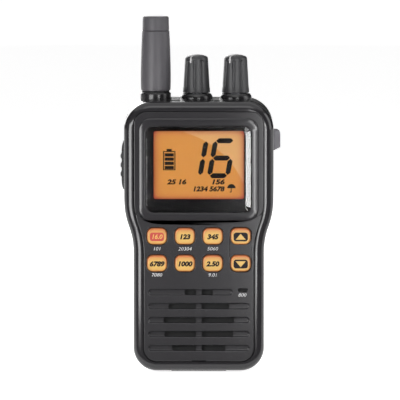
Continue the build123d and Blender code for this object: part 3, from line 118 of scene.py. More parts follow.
class RADIO_PG_sizes(bpy.types.PropertyGroup):
    """Sizes of the body and of what stands on it."""
    upper_width: length("Shoulder width", "Width beside the display", 63.8)
    lower_width: length("Grip width", "Width beside the loudspeaker", 55.8)
    body_top: length("Body height", "Top face above the table", 115.9)
    foot: length("Foot height", "Pad under the body", 0.5)
    foot_width: length("Foot width", "Pad under the body", 23.4)
    taper_bottom: length("Waist height", "Where the grip's straight sides end", 51.4)
    taper_length: length("Waist length", "Height of the curved change of width", 22.3)
    top_radius: length("Shoulder radius", "Rounding of the top corners", 12.0)
    bottom_radius: length("Foot radius", "Rounding of the bottom corners", 10.0)
    edge: length("Edge radius", "Rounding of the front rim and the back edges", 3.8)
    rim: length("Rim width", "Rounded rim round the front panel", 4.0)
    groove: length("Groove", "Gap between rim and panel", 0.3)
    wall: length("Wall", "Thickness of the case", 2.2)
    ridge_width: length("Ridge width", "Raised frame round the lens", 51.2)
    ridge_height: length("Ridge length", "Upright length of the raised frame", 43.7)
    lens_width: length("Lens width", "Opening for the lens", 45.2)
    lens_height: length("Lens height", "Opening for the lens", 37.0)
    lens_centre: length("Lens centre", "Middle of the lens above the table", 87.1)
    window_width: length("Display width", "Lit window", 38.8)
    window_height: length("Display height", "Lit window", 29.2)
    window_centre: length("Display centre", "Middle of the lit window above the table", 88.85)
    key_width: length("Key width", "One key cap", 8.4)
    key_height: length("Key height", "One key cap", 6.9)
    slot_width: length("Slot width", "Long slots of the grille", 42.9)
    slot_height: length("Slot height", "One slot of the grille", 2.5)
    slot_pitch: length("Slot pitch", "Step between slots", 5.98)
    slot_lowest: length("Lowest slot", "Middle of the lowest slot above the table", 10.6)
    sound_radius: length("Sound radius", "Circle that bounds the sound openings", 15.15)
    sound_height: length("Sound height", "Middle of the sound openings above the table", 20.6)
    knob_radius: length("Knob radius", "Foot of a knob", 5.9)
    knob_top_radius: length("Knob top radius", "Shoulder of a knob", 4.85)
    knob_height: length("Knob height", "Foot to top of a knob", 16.4)
    antenna_radius: length("Antenna radius", "Thickest part of the sheath", 6.45)
    antenna_top: length("Antenna top", "End of the antenna above the table", 151.3)
    clip_width: length("Clip width", "Belt clip at its upper end", 22.0)


class RADIO_PG_colours(bpy.types.PropertyGroup):
    """Colours of the mouldings, the display and the keys."""
    case: colour("Case", "Grained housing", "#242325")
    panel: colour("Panel", "Satin front panel", "#2B2A2C")
    surround: colour("Surround", "Satin frame of the display", "#29282A")
    knob: colour("Knobs", "Satin knobs", "#323234")
    antenna: colour("Antenna", "Rubber sheath", "#48464A")
    grip: colour("Talk button", "Rubber side button", "#2B2B2D")
    cover: colour("Jack cover", "Rubber flap", "#6C6A6F")
    display: colour("Display", "Lit display", "#DC9238")
    # painted shade: the redder colour that the display takes towards the edges of its window
    display_edge_shade: colour("Display edge", "Display where its light fades", "#B4492F")
    key: colour("Keys", "Lit key caps", "#B4924B")
    # painted shade: the orange that the keys take round their rim and towards their top
    key_shade: colour("Key edge", "Rim of the key caps", "#A05A30")
    red: colour("Red mark", "Field on the first key", "#A02C26")
    white: colour("White print", "Printed marks", "#BDBCBC")
    ink: colour("Black print", "Marks on the keys and the display", "#161114")


def mm(name):
    """One of the user's sizes, in millimetres."""
    return getattr(bpy.context.scene.radio_sizes, name) / MM


def tone(name):
    """One of the user's colours, linear, with alpha."""
    return (*getattr(bpy.context.scene.radio_colours, name), 1.0)


# ---------------------------------------------------------------- modelling helpers
def alone(piece):
    """Leave edit mode and make one piece the only one selected."""
    if bpy.context.mode != "OBJECT":
        bpy.ops.object.mode_set(mode="OBJECT")
    bpy.ops.object.select_all(action="DESELECT")
    if piece:
        piece.select_set(True)
        bpy.context.view_layer.objects.active = piece
    return piece


def named(name):
    """Name the new primitive and put its place into its mesh."""
    piece = bpy.context.object
    piece.name = name
    piece.data.name = name
    bpy.ops.object.transform_apply(location=True, rotation=True, scale=True)
    return piece


def block(name, low, high):
    """Box between two corners."""
    alone(None)
    low, high = Vector(low), Vector(high)
    bpy.ops.mesh.primitive_cube_add(size=1, location=(low + high) / 2 * MM, scale=(high - low) * MM)
    return named(name)


def rod(name, start, end, radius, sides=48):
    """Cylinder between two points."""
    alone(None)
    start, end = Vector(start), Vector(end)
    run = end - start
    bpy.ops.mesh.primitive_cone_add(
        vertices=sides, radius1=radius * MM, radius2=radius * MM, depth=run.length * MM,
        location=(start + end) / 2 * MM, rotation=run.to_track_quat("Z", "Y").to_euler())
    return named(name)


def post(name, x, low, high, radius, sides=48):
    """Upright rod on the top line."""
    return rod(name, (x, TOP_LINE_Y, low), (x, TOP_LINE_Y, high), radius, sides=sides)


FLAT = 0.9999              # cosine between two faces that lie in one plane
NEAR = 0.01                # two places closer than this are the same, in millimetres


def edit(piece, kind, wanted):
    """Enter edit mode with the vertices, edges or faces that pass a test of where they are."""
    alone(piece)
    bpy.ops.object.mode_set(mode="EDIT")
    bpy.ops.mesh.select_mode(type=kind)
    bpy.ops.mesh.select_all(action="DESELECT")
    bpy.ops.object.mode_set(mode="OBJECT")
    points = piece.data.vertices
    if kind == "VERT":
        for point in points:
            point.select = wanted(point.co / MM)
    elif kind == "EDGE":
        sides = {}
        for face in piece.data.polygons:
            for key in face.edge_keys:
                sides.setdefault(key, []).append(face.normal.copy())
        for line in piece.data.edges:
            between = sides.get(line.key, ())
            flat = len(between) == 2 and between[0].dot(between[1]) > FLAT
            line.select = not flat and wanted(points[line.vertices[0]].co / MM,
                                              points[line.vertices[1]].co / MM)
    else:
        for face in piece.data.polygons:
            face.select = wanted(face.center / MM, face.normal)
    bpy.ops.object.mode_set(mode="EDIT")


def edges_at_y(y):
    """Test for edges that lie in an upright plane facing the front."""
    return lambda a, b: max(abs(a.y - y), abs(b.y - y)) < NEAR


def edges_along_y(test=lambda p: True):
    """Test for edges that run from front to back."""
    return lambda a, b: max(abs(a.x - b.x), abs(a.z - b.z)) < NEAR and test(a)


def bevel(piece, wanted, width, steps=4):
    """Round the edges that pass a test."""
    edit(piece, "EDGE", wanted)
    bpy.ops.mesh.bevel(offset=width * MM, segments=steps, profile=0.5, affect="EDGES")
    return alone(piece)


def rounded_block(name, x, z, width, height, radius, y_front, y_back, steps=8):
    """Plate with round corners, seen from the front."""
    piece = block(name, (x - width / 2, y_front, z - height / 2), (x + width / 2, y_back, z + height / 2))
    return bevel(piece, edges_along_y(), radius, steps)


def slice_piece(piece, point, normal):
    """Cut all faces along a plane without taking anything away."""
    edit(piece, "FACE", lambda centre, direction: True)
    bpy.ops.mesh.bisect(plane_co=Vector(point) * MM, plane_no=normal)
    return alone(piece)


def shift(piece, wanted, move):
    """Move the vertices that pass a test."""
    edit(piece, "VERT", wanted)
    bpy.ops.transform.translate(value=Vector(move) * MM)
    return alone(piece)


def modify(piece, kind, **settings):
    """Add a modifier with its settings and apply it."""
    change = piece.modifiers.new(kind.lower(), kind)
    for name, value in settings.items():
        setattr(change, name, value)
    bpy.ops.object.modifier_apply(modifier=change.name)


def boolean(piece, tools, how="DIFFERENCE"):
    """Cut tools out of a piece, or join or intersect them with it, and take the tools away."""
    for tool in tools:
        alone(piece)
        modify(piece, "BOOLEAN", operation=how, solver="EXACT", object=tool)
        bpy.data.objects.remove(tool)
    return piece


def merge(name, pieces):
    """Join pieces into one mesh without a boolean."""
    alone(pieces[0])
    for piece in pieces[1:]:
        piece.select_set(True)
    bpy.ops.object.join()
    pieces[0].name = name
    return pieces[0]


ROUND_SIDES = 72


def turned(name, x, stations):
    """Round piece that stands on the top line: a disc drawn up through pairs of radius and height."""
    alone(None)
    radius, height = stations[0]
    bpy.ops.mesh.primitive_circle_add(vertices=ROUND_SIDES, radius=radius * MM, fill_type="NGON",
                                      location=Vector((x, TOP_LINE_Y, height)) * MM)
    piece = named(name)
    edit(piece, "FACE", lambda centre, direction: True)
    for next_radius, next_height in stations[1:]:
        rise = (0, 0, (next_height - height) * MM)
        bpy.ops.mesh.extrude_region_move(TRANSFORM_OT_translate={"value": rise})
        share = next_radius / radius
        bpy.ops.transform.resize(value=(share, share, 1),
                                 center_override=(x * MM, TOP_LINE_Y * MM, next_height * MM))
        radius, height = next_radius, next_height
    return tidy(piece)


def tidy(piece):
    """Merge doubles and turn all faces outwards."""
    edit(piece, "VERT", lambda p: True)
    bpy.ops.mesh.remove_doubles(threshold=0.002 * MM)
    bpy.ops.mesh.normals_make_consistent(inside=False)
    return alone(piece)


def smooth(piece, edge=0.0, steps=2, angle=32.0):
    """Break the sharp edges by a small radius and shade the curved faces smooth."""
    tidy(piece)
    limit = math.radians(angle)
    if edge:
        modify(piece, "BEVEL", width=edge * MM, segments=steps, limit_method="ANGLE", angle_limit=limit)
    bpy.ops.object.shade_smooth_by_angle(angle=limit)
    modify(piece, "WEIGHTED_NORMAL", keep_sharp=True)
    return piece


def done(piece, body, slot, *nodes, look=None):
    """Give a piece the finish of its look, or else of its slot, the body it rides on, and hide the frame's
    nodes it stands for.
    """
    piece.data.materials.clear()
    piece.data.materials.append(FINISH[look or slot])
    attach(piece, body)
    if nodes:
        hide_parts(*nodes)
    return piece


def half_width(z):
    """Half the body's width at a height: shoulders, curved waist, grip."""
    upper, lower = mm("upper_width") / 2, mm("lower_width") / 2
    low, rise = mm("taper_bottom"), mm("taper_length")
    flare = upper - lower
    radius = (flare ** 2 + rise ** 2) / (4 * flare)
    if z <= low:
        return lower
    if z >= low + rise:
        return upper
    if z < low + rise / 2:
        return lower + radius - math.sqrt(radius ** 2 - (z - low) ** 2)
    return upper - radius + math.sqrt(radius ** 2 - (low + rise - z) ** 2)


WAIST_STEPS = 14
CORNER_STEPS = 12
EDGE_STEPS = 10


def body_prism(name, inset, y_front, y_back, top_radius=None, edge_y=None):
    """The body's outline, set in evenly, as a prism; the edges at edge_y are rounded."""
    upper = mm("upper_width") / 2
    low, high = mm("foot") + inset, mm("body_top") - inset
    r_top = mm("top_radius") - inset if top_radius is None else top_radius
    r_bottom = mm("bottom_radius") - inset
    piece = block(name, (inset - upper, y_front, low), (upper - inset, y_back, high))
    bevel(piece, edges_along_y(lambda p: p.z > high - 1), r_top, CORNER_STEPS)
    bevel(piece, edges_along_y(lambda p: p.z < low + 1), r_bottom, CORNER_STEPS)
    levels = [mm("taper_bottom") + mm("taper_length") * i / WAIST_STEPS for i in range(WAIST_STEPS + 1)]
    for level in levels:
        slice_piece(piece, (0, 0, level), (0, 0, 1))
    for side in (-1, 1):
        for level in levels[1:-1]:
            move = (side * (half_width(level) - upper), 0, 0)
            shift(piece, lambda p: abs(p.z - level) < NEAR and side * p.x > 1, move)
        move = (side * (mm("lower_width") / 2 - upper), 0, 0)
        shift(piece, lambda p: p.z < levels[0] + NEAR and side * p.x > 1, move)
    edit(piece, "FACE", lambda centre, direction: True)
    bpy.ops.mesh.dissolve_limited(angle_limit=math.radians(0.3))
    alone(piece)
    if edge_y is not None:
        bevel(piece, edges_at_y(edge_y), mm("edge"), EDGE_STEPS)
    return piece


def swoop_height(x):
    """Height of the lower edge of the display's surround at a distance from the middle."""
    middle, knee, radius, sag = 64.0, 17.0, 15.3, 0.3
    if abs(x) < knee:
        return middle + sag * (x / knee) ** 2
    slope = math.atan(2 * sag / knee)
    run = abs(x) - knee + radius * math.sin(slope)
    return middle + sag + radius * math.cos(slope) - math.sqrt(radius ** 2 - run ** 2)


def crown(piece, y, rings):
    """Round off a front face: each ring steps in by one figure and out to the front by the other."""
    edit(piece, "FACE", lambda centre, direction: abs(centre.y - y) < NEAR and direction.y < -0.9)
    for width, rise in rings:
        bpy.ops.mesh.inset(thickness=width * MM, depth=rise * MM)
    return alone(piece)


def foot_pad(y_front, y_back):
    """Pad that stands on the table."""
    half = mm("foot_width") / 2
    return block("foot", (-half, y_front, 0.005), (half, y_back, mm("foot") + 1))


def swoop_prism(name, drop):
    """All that lies above the surround's lower edge; drop lowers that edge."""
    reach, base, steps = 29.0, 60.0, 40
    piece = block(name, (-reach, FRONT_Y - 5, base), (reach, SEAM_BACK_Y, FAR))
    columns = [reach * (2 * i / steps - 1) for i in range(steps + 1)]
    for column in columns[1:-1]:
        slice_piece(piece, (column, 0, 0), (1, 0, 0))
    for column in columns:
        rise = swoop_height(column) - drop - base
        shift(piece, lambda p: abs(p.x - column) < NEAR and p.z < base + NEAR, (0, 0, rise))
    return piece


# ---------------------------------------------------------------- finishes
def add(tree, kind, settings=(), values=(), links=()):
    """Add a shader node with its settings, socket values and links."""
    node = tree.nodes.new("ShaderNode" + kind)
    for name, value in dict(settings).items():
        setattr(node, name, value)
    return fit(node, values, links)


def fit(node, values=(), links=()):
    """Set a node's socket values and links."""
    for name, value in dict(values).items():
        node.inputs[name].default_value = value
    for name, source in dict(links).items():
        node.id_data.links.new(source, node.inputs[name])
    return node


def calc(tree, operation, first, second=None, clamp=False):
    """Output of a sum; each of its terms is a number or a socket."""
    node = add(tree, "Math", {"operation": operation, "use_clamp": clamp})
    for place, term in enumerate((first, second)):
        if isinstance(term, bpy.types.NodeSocket):
            fit(node, links={place: term})
        elif term is not None:
            fit(node, {place: term})
    return node.outputs[0]


def rim_share(tree, first, second, power):
    """Rises from 0 in the middle of a field to 1 at its edges, which lie at -1 and 1 both ways."""
    sides = [calc(tree, "POWER", calc(tree, "ABSOLUTE", way), power) for way in (first, second)]
    return calc(tree, "ADD", *sides, clamp=True)


def begin(name):
    """New material with its shader and its object coordinates."""
    material = bpy.data.materials.new(name)
    material.use_nodes = True
    tree = material.node_tree
    place = add(tree, "TexCoord").outputs["Object"]
    return material, tree, tree.nodes["Principled BSDF"], place


def shaded(base, factor):
    """A colour made lighter or darker."""
    return tuple(min(1.0, c * factor) for c in base[:3]) + (1.0,)


def mottled(tree, place, base, size, depth):
    """Colour that drifts a little over a distance in millimetres."""
    cloud = add(tree, "TexNoise", values={"Scale": 1 / (size * MM), "Detail": 3.0},
                links={"Vector": place})
    return add(tree, "MixRGB", values={"Color1": shaded(base, 1 - depth), "Color2": shaded(base, 1 + depth)},
               links={"Fac": cloud.outputs["Fac"]}).outputs["Color"]


def grain(tree, place, size, relief, strength):
    """Fine moulded grain, as a bump."""
    noise = add(tree, "TexNoise",
                values={"Scale": 1 / (size * MM), "Detail": 2.0, "Roughness": 0.6}, links={"Vector": place})
    bump = add(tree, "Bump", values={"Strength": strength, "Distance": relief * MM},
               links={"Height": noise.outputs["Fac"]})
    return noise.outputs["Fac"], bump.outputs["Normal"]


def spread(tree, source, low, high):
    """Bring a 0 to 1 signal into a range."""
    return add(tree, "MapRange", values={"To Min": low, "To Max": high},
               links={"Value": source}).outputs["Result"]


def moulded(name, base, grain_size, relief, rough, specular=0.5):
    """Opaque thermoplastic or rubber from a textured mould."""
    material, tree, shader, place = begin(name)
    fine, normal = grain(tree, place, grain_size, relief, 0.5)
    fit(shader, {"IOR": 1.5, "Specular IOR Level": specular},
        {"Base Color": mottled(tree, place, base, 14.0, 0.05), "Normal": normal,
         "Roughness": spread(tree, fine, rough - 0.06, rough + 0.06)})
    return material


def metal(name, base, rough, scratch):
    """Machined or drawn metal with fine lines along X."""
    material, tree, shader, place = begin(name)
    lines = add(tree, "Mapping", values={"Scale": (0.05, 1.0, 1.0)}, links={"Vector": place})
    fine, normal = grain(tree, lines.outputs["Vector"], scratch, 0.01, 0.3)
    fit(shader, {"Metallic": 1.0},
        {"Base Color": mottled(tree, place, base, 6.0, 0.06), "Normal": normal,
         "Roughness": spread(tree, fine, rough - 0.08, rough + 0.08)})
    return material


def clear_polycarbonate():
    """Hard-coated clear sheet: a near mirror gloss over what lies behind it."""
    material, tree, shader, place = begin("hard_coated_polycarbonate")
    haze = add(tree, "TexNoise", values={"Scale": 1 / (9 * MM), "Detail": 2.0},
               links={"Vector": place})
    fit(shader, {"Base Color": (1.0, 1.0, 1.0, 1.0), "IOR": 1.5, "Transmission Weight": 1.0},
        {"Roughness": spread(tree, haze.outputs["Fac"], 0.02, 0.05)})
    return material


def lit_display():
    """Reflective display over an amber light guide: even in the middle, with painted shade in red towards the
    edges and a painted reflection outside an arc.
    """
    material, tree, shader, place = begin("backlit_liquid_crystal")
    centre = add(tree, "Mapping", {"vector_type": "TEXTURE"},
                 {"Location": (0, 0, mm("window_centre") * MM),
                  "Scale": (mm("window_width") / 2 * MM, 1, mm("window_height") / 2 * MM)},
                 {"Vector": place})
    parts = add(tree, "SeparateXYZ", links={"Vector": centre.outputs["Vector"]})
    # painted shade: a redder colour towards the edges of the window
    edge = rim_share(tree, parts.outputs["X"], parts.outputs["Z"], 15.0)
    # painted reflection: the display is brighter outside an arc round a point at the lower left
    arc_x, arc_z, arc_radius, arc_edge = -16.2 * MM, 65.7 * MM, 38.2 * MM, 0.3 * MM
    reflection_place = add(tree, "VectorMath", {"operation": "MULTIPLY"}, {1: (1, 0, 1)}, {0: place})
    reach = add(tree, "VectorMath", {"operation": "DISTANCE"}, {1: (arc_x, 0, arc_z)},
                {0: reflection_place.outputs["Vector"]})
    corner = add(tree, "MapRange",
                 values={"From Min": arc_radius, "From Max": arc_radius + arc_edge, "To Max": 0.22},
                 links={"Value": reach.outputs["Value"]})
    body = mottled(tree, place, tone("display"), 22.0, 0.03)
    bright = add(tree, "MixRGB", values={"Color2": (1.0, 0.86, 0.5, 1)},
                 links={"Fac": corner.outputs["Result"], "Color1": body}).outputs["Color"]
    mixed = add(tree, "MixRGB", values={"Color2": tone("display_edge_shade")},
                links={"Fac": edge, "Color1": bright}).outputs["Color"]
    dim = add(tree, "MixRGB", {"blend_type": "MULTIPLY"}, {"Fac": 1.0, "Color2": (0.5, 0.5, 0.5, 1)},
              {"Color1": mixed}).outputs["Color"]
    fit(shader, {"Emission Strength": 0.55, "Roughness": 0.45},
        {"Base Color": dim, "Emission Color": mixed})
    return material


def lit_key():
    """Amber silicone lit from behind: yellow on its face, with painted shade in orange round the rim and most
    at the top.
    """
    material, tree, shader, place = begin("backlit_silicone")
    uv = add(tree, "UVMap", {"uv_map": "cap"}).outputs["UV"]
    parts = add(tree, "SeparateXYZ", links={"Vector": uv})
    # painted shade: orange round the rim of each key, and more towards its top
    rim = rim_share(tree, parts.outputs["X"], parts.outputs["Y"], 5.0)
    top = add(tree, "MapRange", values={"From Min": 0.2, "From Max": 1.1, "To Max": 0.75},
              links={"Value": parts.outputs["Y"]}).outputs["Result"]
    share = calc(tree, "ADD", rim, top, clamp=True)
    body = mottled(tree, place, tone("key"), 5.0, 0.04)
    mixed = add(tree, "MixRGB", values={"Color2": tone("key_shade")},
                links={"Fac": share, "Color1": body}).outputs["Color"]
    fit(shader, {"Emission Strength": 0.12, "Roughness": 0.38},
        {"Base Color": mixed, "Emission Color": mixed})
    return material


def woven(name, base, thread):
    """Plain woven cloth."""
    material, tree, shader, place = begin(name)
    waves = [add(tree, "TexWave", {"wave_type": "BANDS", "bands_direction": axis},
                 {"Scale": 0.314 / (thread * MM)}, {"Vector": place}).outputs["Fac"] for axis in ("X", "Z")]
    weave = calc(tree, "MULTIPLY", *waves)
    bump = add(tree, "Bump", values={"Strength": 0.4, "Distance": 0.05 * MM}, links={"Height": weave})
    shade = add(tree, "MixRGB", values={"Color1": shaded(base, 0.6), "Color2": shaded(base, 1.4)},
                links={"Fac": weave})
    fit(shader, {"Roughness": 0.85}, {"Base Color": shade.outputs["Color"], "Normal": bump.outputs["Normal"]})
    return material


def board(name):
    """Glass-fibre board under green solder mask, with a pattern of lighter green tracks."""
    material, tree, shader, place = begin(name)
    tracks = add(tree, "TexVoronoi", {"distance": "MANHATTAN"}, {"Scale": 1 / (2.5 * MM)},
                 {"Vector": place})
    shade = add(tree, "MixRGB", values={"Color1": hue("#1D5A33"), "Color2": hue("#2C7A48")},
                links={"Fac": tracks.outputs["Distance"]})
    fit(shader, {"Roughness": 0.35}, {"Base Color": shade.outputs["Color"]})
    return material


def make_finishes():
    """All finishes, by the frame's material slots and by the marks' names."""
    return {
        # spark-eroded ABS and polycarbonate blend: soft, slightly broken highlights
        "case_plastic": moulded("spark_eroded_abs_case", tone("case"), 0.35, 0.003, 0.16),
        # the same blend from a duller mould
        "rear_plastic": moulded("fine_eroded_abs_back", tone("case"), 0.35, 0.004, 0.26),
        # finer mould grain: a satin sheen
        "panel_plastic": moulded("satin_abs_panel", tone("panel"), 0.3, 0.003, 0.25),
        "surround_plastic": moulded("satin_abs_surround", tone("surround"), 0.3, 0.003, 0.19),
        "knob_plastic": moulded("satin_nylon_knob", tone("knob"), 0.3, 0.003, 0.4),
        "latch_plastic": moulded("satin_acetal_latch", tone("knob"), 0.3, 0.01, 0.4),
        "clip_plastic": moulded("satin_polycarbonate_clip", tone("knob"), 0.35, 0.015, 0.42),
        "black_plastic": moulded("glass_filled_nylon", hue("#202022"), 0.4, 0.02, 0.5),
        # moulded thermoplastic rubber: broad dull highlights
        "antenna_rubber": moulded("moulded_rubber_sheath", tone("antenna"), 0.4, 0.015, 0.48),
        "button_rubber": moulded("moulded_rubber_button", tone("grip"), 0.4, 0.015, 0.45),
        "grey_rubber": moulded("moulded_rubber_cover", tone("cover"), 0.4, 0.015, 0.5),
        "gasket_rubber": moulded("moulded_rubber_seal", hue("#19191A"), 0.5, 0.02, 0.7),
        "mat_rubber": moulded("translucent_silicone_mat", hue("#C9C4B4"), 0.5, 0.02, 0.5),
        "key_amber": lit_key(),
        "lens_clear": clear_polycarbonate(),
        "lcd_amber": lit_display(),
        # frosted acrylic: pale and even
        "light_guide": moulded("frosted_acrylic", hue("#E8E4D2"), 0.6, 0.01, 0.3),
        "membrane": woven("woven_acoustic_cloth", hue("#0F0F10"), 0.5),
        "speaker_steel": moulded("painted_pressed_steel", hue("#1E1E20"), 0.8, 0.01, 0.35),
        "cone_paper": woven("coated_paper_cone", hue("#1C1C1E"), 0.8),
        "magnet": moulded("sintered_ferrite", hue("#37373A"), 0.25, 0.03, 0.75),
        "bright_metal": metal("nickel_plated_steel", hue("#C9C8C6"), 0.28, 0.2),
        "screw_steel": metal("blackened_steel", hue("#6C6C70"), 0.4, 0.2),
        "spring_steel": metal("drawn_spring_steel", hue("#A9A9AC"), 0.3, 0.15),
        "brass_metal": metal("gilded_brass", hue("#D3B26A"), 0.25, 0.2),
        "board_green": board("solder_masked_board"),
        "cell_wrap": moulded("shrink_sleeve", hue("#33507A"), 2.0, 0.02, 0.25),
        # screen-printed ink: flat, no gloss of its own
        "white_print": moulded("screen_printed_white", tone("white"), 0.2, 0.004, 0.6),
        "black_print": moulded("screen_printed_black", tone("ink"), 0.2, 0.004, 0.5, 0.2),
        "red_print": moulded("screen_printed_red", tone("red"), 0.2, 0.004, 0.5),
        "back_print": moulded("back_printed_black", hue("#141315"), 0.2, 0.002, 0.25),
        # stage only: pile that throws almost nothing back
        "velvet": moulded("black_velvet", (0.004, 0.004, 0.004, 1), 2.0, 0.1, 0.9, 0.1),
    }


FINISH = {}
BREAK = 0.12               # small radius on moulded edges


# ---------------------------------------------------------------- the pieces
class RADIO_OT_finishes(bpy.types.Operator):
    """Make the finishes and give each node of the frame the one of its slot"""
    bl_idname = "radio.finishes"
    bl_label = "Finishes"

    def execute(self, context):
        FINISH.update(make_finishes())
        for row in frame["record"]["subparts"]:
            node = frame["nodes"][row["node"]]
            node.data.materials.clear()
            node.data.materials.append(FINISH[row["material_slot"]])
        return {"FINISHED"}


def key_holes(radius, y_front, y_back):
    """Openings for the eight keys."""
    width, height = mm("key_width") + KEY_FIT, mm("key_height") + KEY_FIT
    return [rounded_block("hole", x, z, width, height, radius, y_front, y_back) for x, z in KEYS.values()]


class RADIO_OT_front_case(bpy.types.Operator):
    """Front shell with its rounded rim and the recess for the panel"""
    bl_idname = "radio.front_case"
    bl_label = "Front case"

    def execute(self, context):
        piece = body_prism("front_shell", 0, FRONT_Y, SEAM_FRONT_Y, edge_y=FRONT_Y)
        boolean(piece, [foot_pad(FRONT_Y + mm("edge") + 2, SEAM_FRONT_Y)], "UNION")
        tools = [
            body_prism("recess", mm("rim"), FRONT_Y - 1, PANEL_BACK_Y, top_radius=5.5),
            body_prism("hollow", mm("wall"), FRONT_WALL_Y, SEAM_FRONT_Y + 1),
            rounded_block("window", 0, mm("window_centre"), mm("window_width"), mm("window_height"),
                          1.1, FRONT_Y, FRONT_WALL_Y + 1),
            rod("sound", (0, FRONT_Y, 21.2), (0, FRONT_WALL_Y + 1, 21.2), 15.75, sides=64),
            rod("voice", (MIC_X, FRONT_Y, MIC_Z), (MIC_X, FRONT_WALL_Y + 1, MIC_Z), 1.3, sides=24),
        ]
        boolean(piece, tools + key_holes(2.7, FRONT_Y, FRONT_WALL_Y + 1))
        done(smooth(piece, BREAK), "radio", "case_plastic", "front_case")
        gasket = body_prism("seam_gasket", 0.38, SEAM_FRONT_Y, SEAM_BACK_Y)
        boolean(gasket, [body_prism("inside", mm("wall"), SEAM_FRONT_Y - 1, SEAM_BACK_Y + 1)])
        done(smooth(gasket), "radio", "gasket_rubber", "case_gasket")
        return {"FINISHED"}


class RADIO_OT_rear_case(bpy.types.Operator):
    """Rear shell with its upper block, the collars on top and the openings in its sides"""
    bl_idname = "radio.rear_case"
    bl_label = "Rear case"

    def execute(self, context):
        top = mm("body_top")
        side = mm("upper_width") / 2
        piece = body_prism("rear_shell", 0, SEAM_BACK_Y, BACK_Y, edge_y=BACK_Y)
        collars = [turned("collar", ANTENNA_X, (
            (6.55, top - 2), (6.55, top + 2.0), (6.45, top + 2.4), (6.15, top + 2.7)))]
        collars += [turned("collar", x, (
            (6.9, top - 2), (6.9, top + 0.8), (6.75, top + 1.3), (6.35, top + 1.95),
            (6.1, COLLAR_TOP))) for x in KNOBS_X.values()]
        latch_y, latch_low, latch_high = 15.6, 90.2, 101.3
        tools = [
            block("battery_room", (-FAR, BATTERY_FACE_Y, -FAR), (FAR, FAR, SPLIT_Z)),
            boolean(body_prism("hollow", mm("wall"), SEAM_BACK_Y - 1, BACK_WALL_Y),
                    [block("roof", (-FAR, -FAR, top - 3), (FAR, FAR, FAR))]),
            post("bore", ANTENNA_X, 111.2, FAR, 4.2),
            block("jack_window", (side - 4, SIDE_LINE_Y - 3.3, 95.2), (FAR, SIDE_LINE_Y + 3.3, 101.8)),
            block("contact_window", (-6.6, BACK_WALL_Y - 1, 66.9), (6.6, FAR, 73.1)),
            rounded_side_block("button_window", 4.9, 87.85, 10.65, 1.3, -FAR, 3 - side),
            block("latch_mouth", (-6.9, latch_y, latch_low), (6.9, FAR, latch_high)),
            block("latch_track", (-8.1, latch_y, latch_low), (8.1, 17.3, latch_high)),
            block("tongue_way", (-4.9, latch_y, SPLIT_Z - 2), (4.9, 18.0, latch_low + 0.8)),
        ]
        tools += [post("bore", x, top - 5, FAR, 3.1) for x in KNOBS_X.values()]
        half, radius = 4.2, 1.05
        for x in HOOKS_X:
            tools += [hook_bar("socket", x, half, radius),
                      block("socket_mouth", (x - half, HOOK_Y, HOOK_Z - radius),
                            (x + half, HOOK_Y + 1.45, HOOK_Z + radius))]
        boolean(piece, collars + [foot_pad(SEAM_BACK_Y, BATTERY_FACE_Y)], "UNION")
        boolean(piece, tools)
        done(smooth(piece, BREAK), "radio", "case_plastic", "rear_case", look="rear_plastic")
        return {"FINISHED"}


def hook_bar(name, x, half, radius):
    """One of the bars at the battery's foot, or the room for it."""
    return rod(name, (x - half, HOOK_Y, HOOK_Z), (x + half, HOOK_Y, HOOK_Z), radius, sides=24)


def rounded_side_block(name, half_y, middle_z, half_z, radius, x_low, x_high):
    """Plate with round corners, seen from the side."""
    piece = block(name, (x_low, SIDE_LINE_Y - half_y, middle_z - half_z),
                  (x_high, SIDE_LINE_Y + half_y, middle_z + half_z))
    return bevel(piece, lambda a, b: max(abs(a.y - b.y), abs(a.z - b.z)) < NEAR, radius, 6)


SLOT_COUNT = 5
SLOT_DEPTH = 1.3
SHORT_SLOT_CUT = 7.2       # the uppermost slot leaves room for the microphone
MIDDLE_BAR = 1.2           # half the width of the bar between the sound openings


class RADIO_OT_front_panel(bpy.types.Operator):
    """Keypad and grille panel with its slots, recess, key holes and microphone slot"""
    bl_idname = "radio.front_panel"
    bl_label = "Front panel"

    def execute(self, context):
        inset = mm("rim") + mm("groove")
        piece = body_prism("grille_panel", inset, FRONT_Y, PANEL_BACK_Y)
        boolean(piece, [swoop_prism("above", 0.15)])
        bevel(piece, edges_at_y(FRONT_Y), 0.45, 4)
        floor = FRONT_Y + SLOT_DEPTH
        through = FRONT_Y - 1, PANEL_BACK_Y + 1
        recess_x, recess_z, recess_y = KEYS["key_up"][0], 52.8, FRONT_Y + 0.7
        recess = rounded_block("recess", recess_x, recess_z, 9.4, 19.2, 3.0, FRONT_Y - 1, recess_y)
        tools = [bevel(recess, edges_at_y(recess_y), 0.2, 2)]
        for i in range(SLOT_COUNT):
            cut = SHORT_SLOT_CUT if i == SLOT_COUNT - 1 else 0.0
            z = mm("slot_lowest") + i * mm("slot_pitch")
            half, height = (mm("slot_width") - cut) / 2, mm("slot_height")
            slot = rounded_block("slot", -cut / 2, z, 2 * half, height, 1.15, FRONT_Y - 1, floor, 6)
            tools.append(bevel(slot, edges_at_y(floor), 0.6, 4))
            reach = math.sqrt(mm("sound_radius") ** 2 - (z - mm("sound_height")) ** 2)
            rise = height / 2 - 0.15
            for side in (-1, 1):
                near, far = sorted((side * MIDDLE_BAR, side * min(reach, half + side * -cut / 2)))
                tools.append(block("opening", (near, floor - 1, z - rise), (far, through[1], z + rise)))
        tools.append(rounded_block("voice", MIC_X, MIC_Z, 4.0, 1.3, 0.6, *through))
        tools.append(block("notch", (-3, through[0], 4.0), (3, through[1], 5.3)))
        boolean(piece, tools + key_holes(2.75, *through))
        # round the rims of the openings, but not the panel's own outline
        rim_x, rim_low, rim_high = 22.9, 7, 63.2
        bevel(piece, lambda a, b: edges_at_y(FRONT_Y)(a, b) and max(abs(a.x), abs(b.x)) < rim_x
              and rim_low < min(a.z, b.z) and max(a.z, b.z) < rim_high, 0.35, 3)
        done(smooth(piece, BREAK), "radio", "panel_plastic", "front_panel")
        return {"FINISHED"}


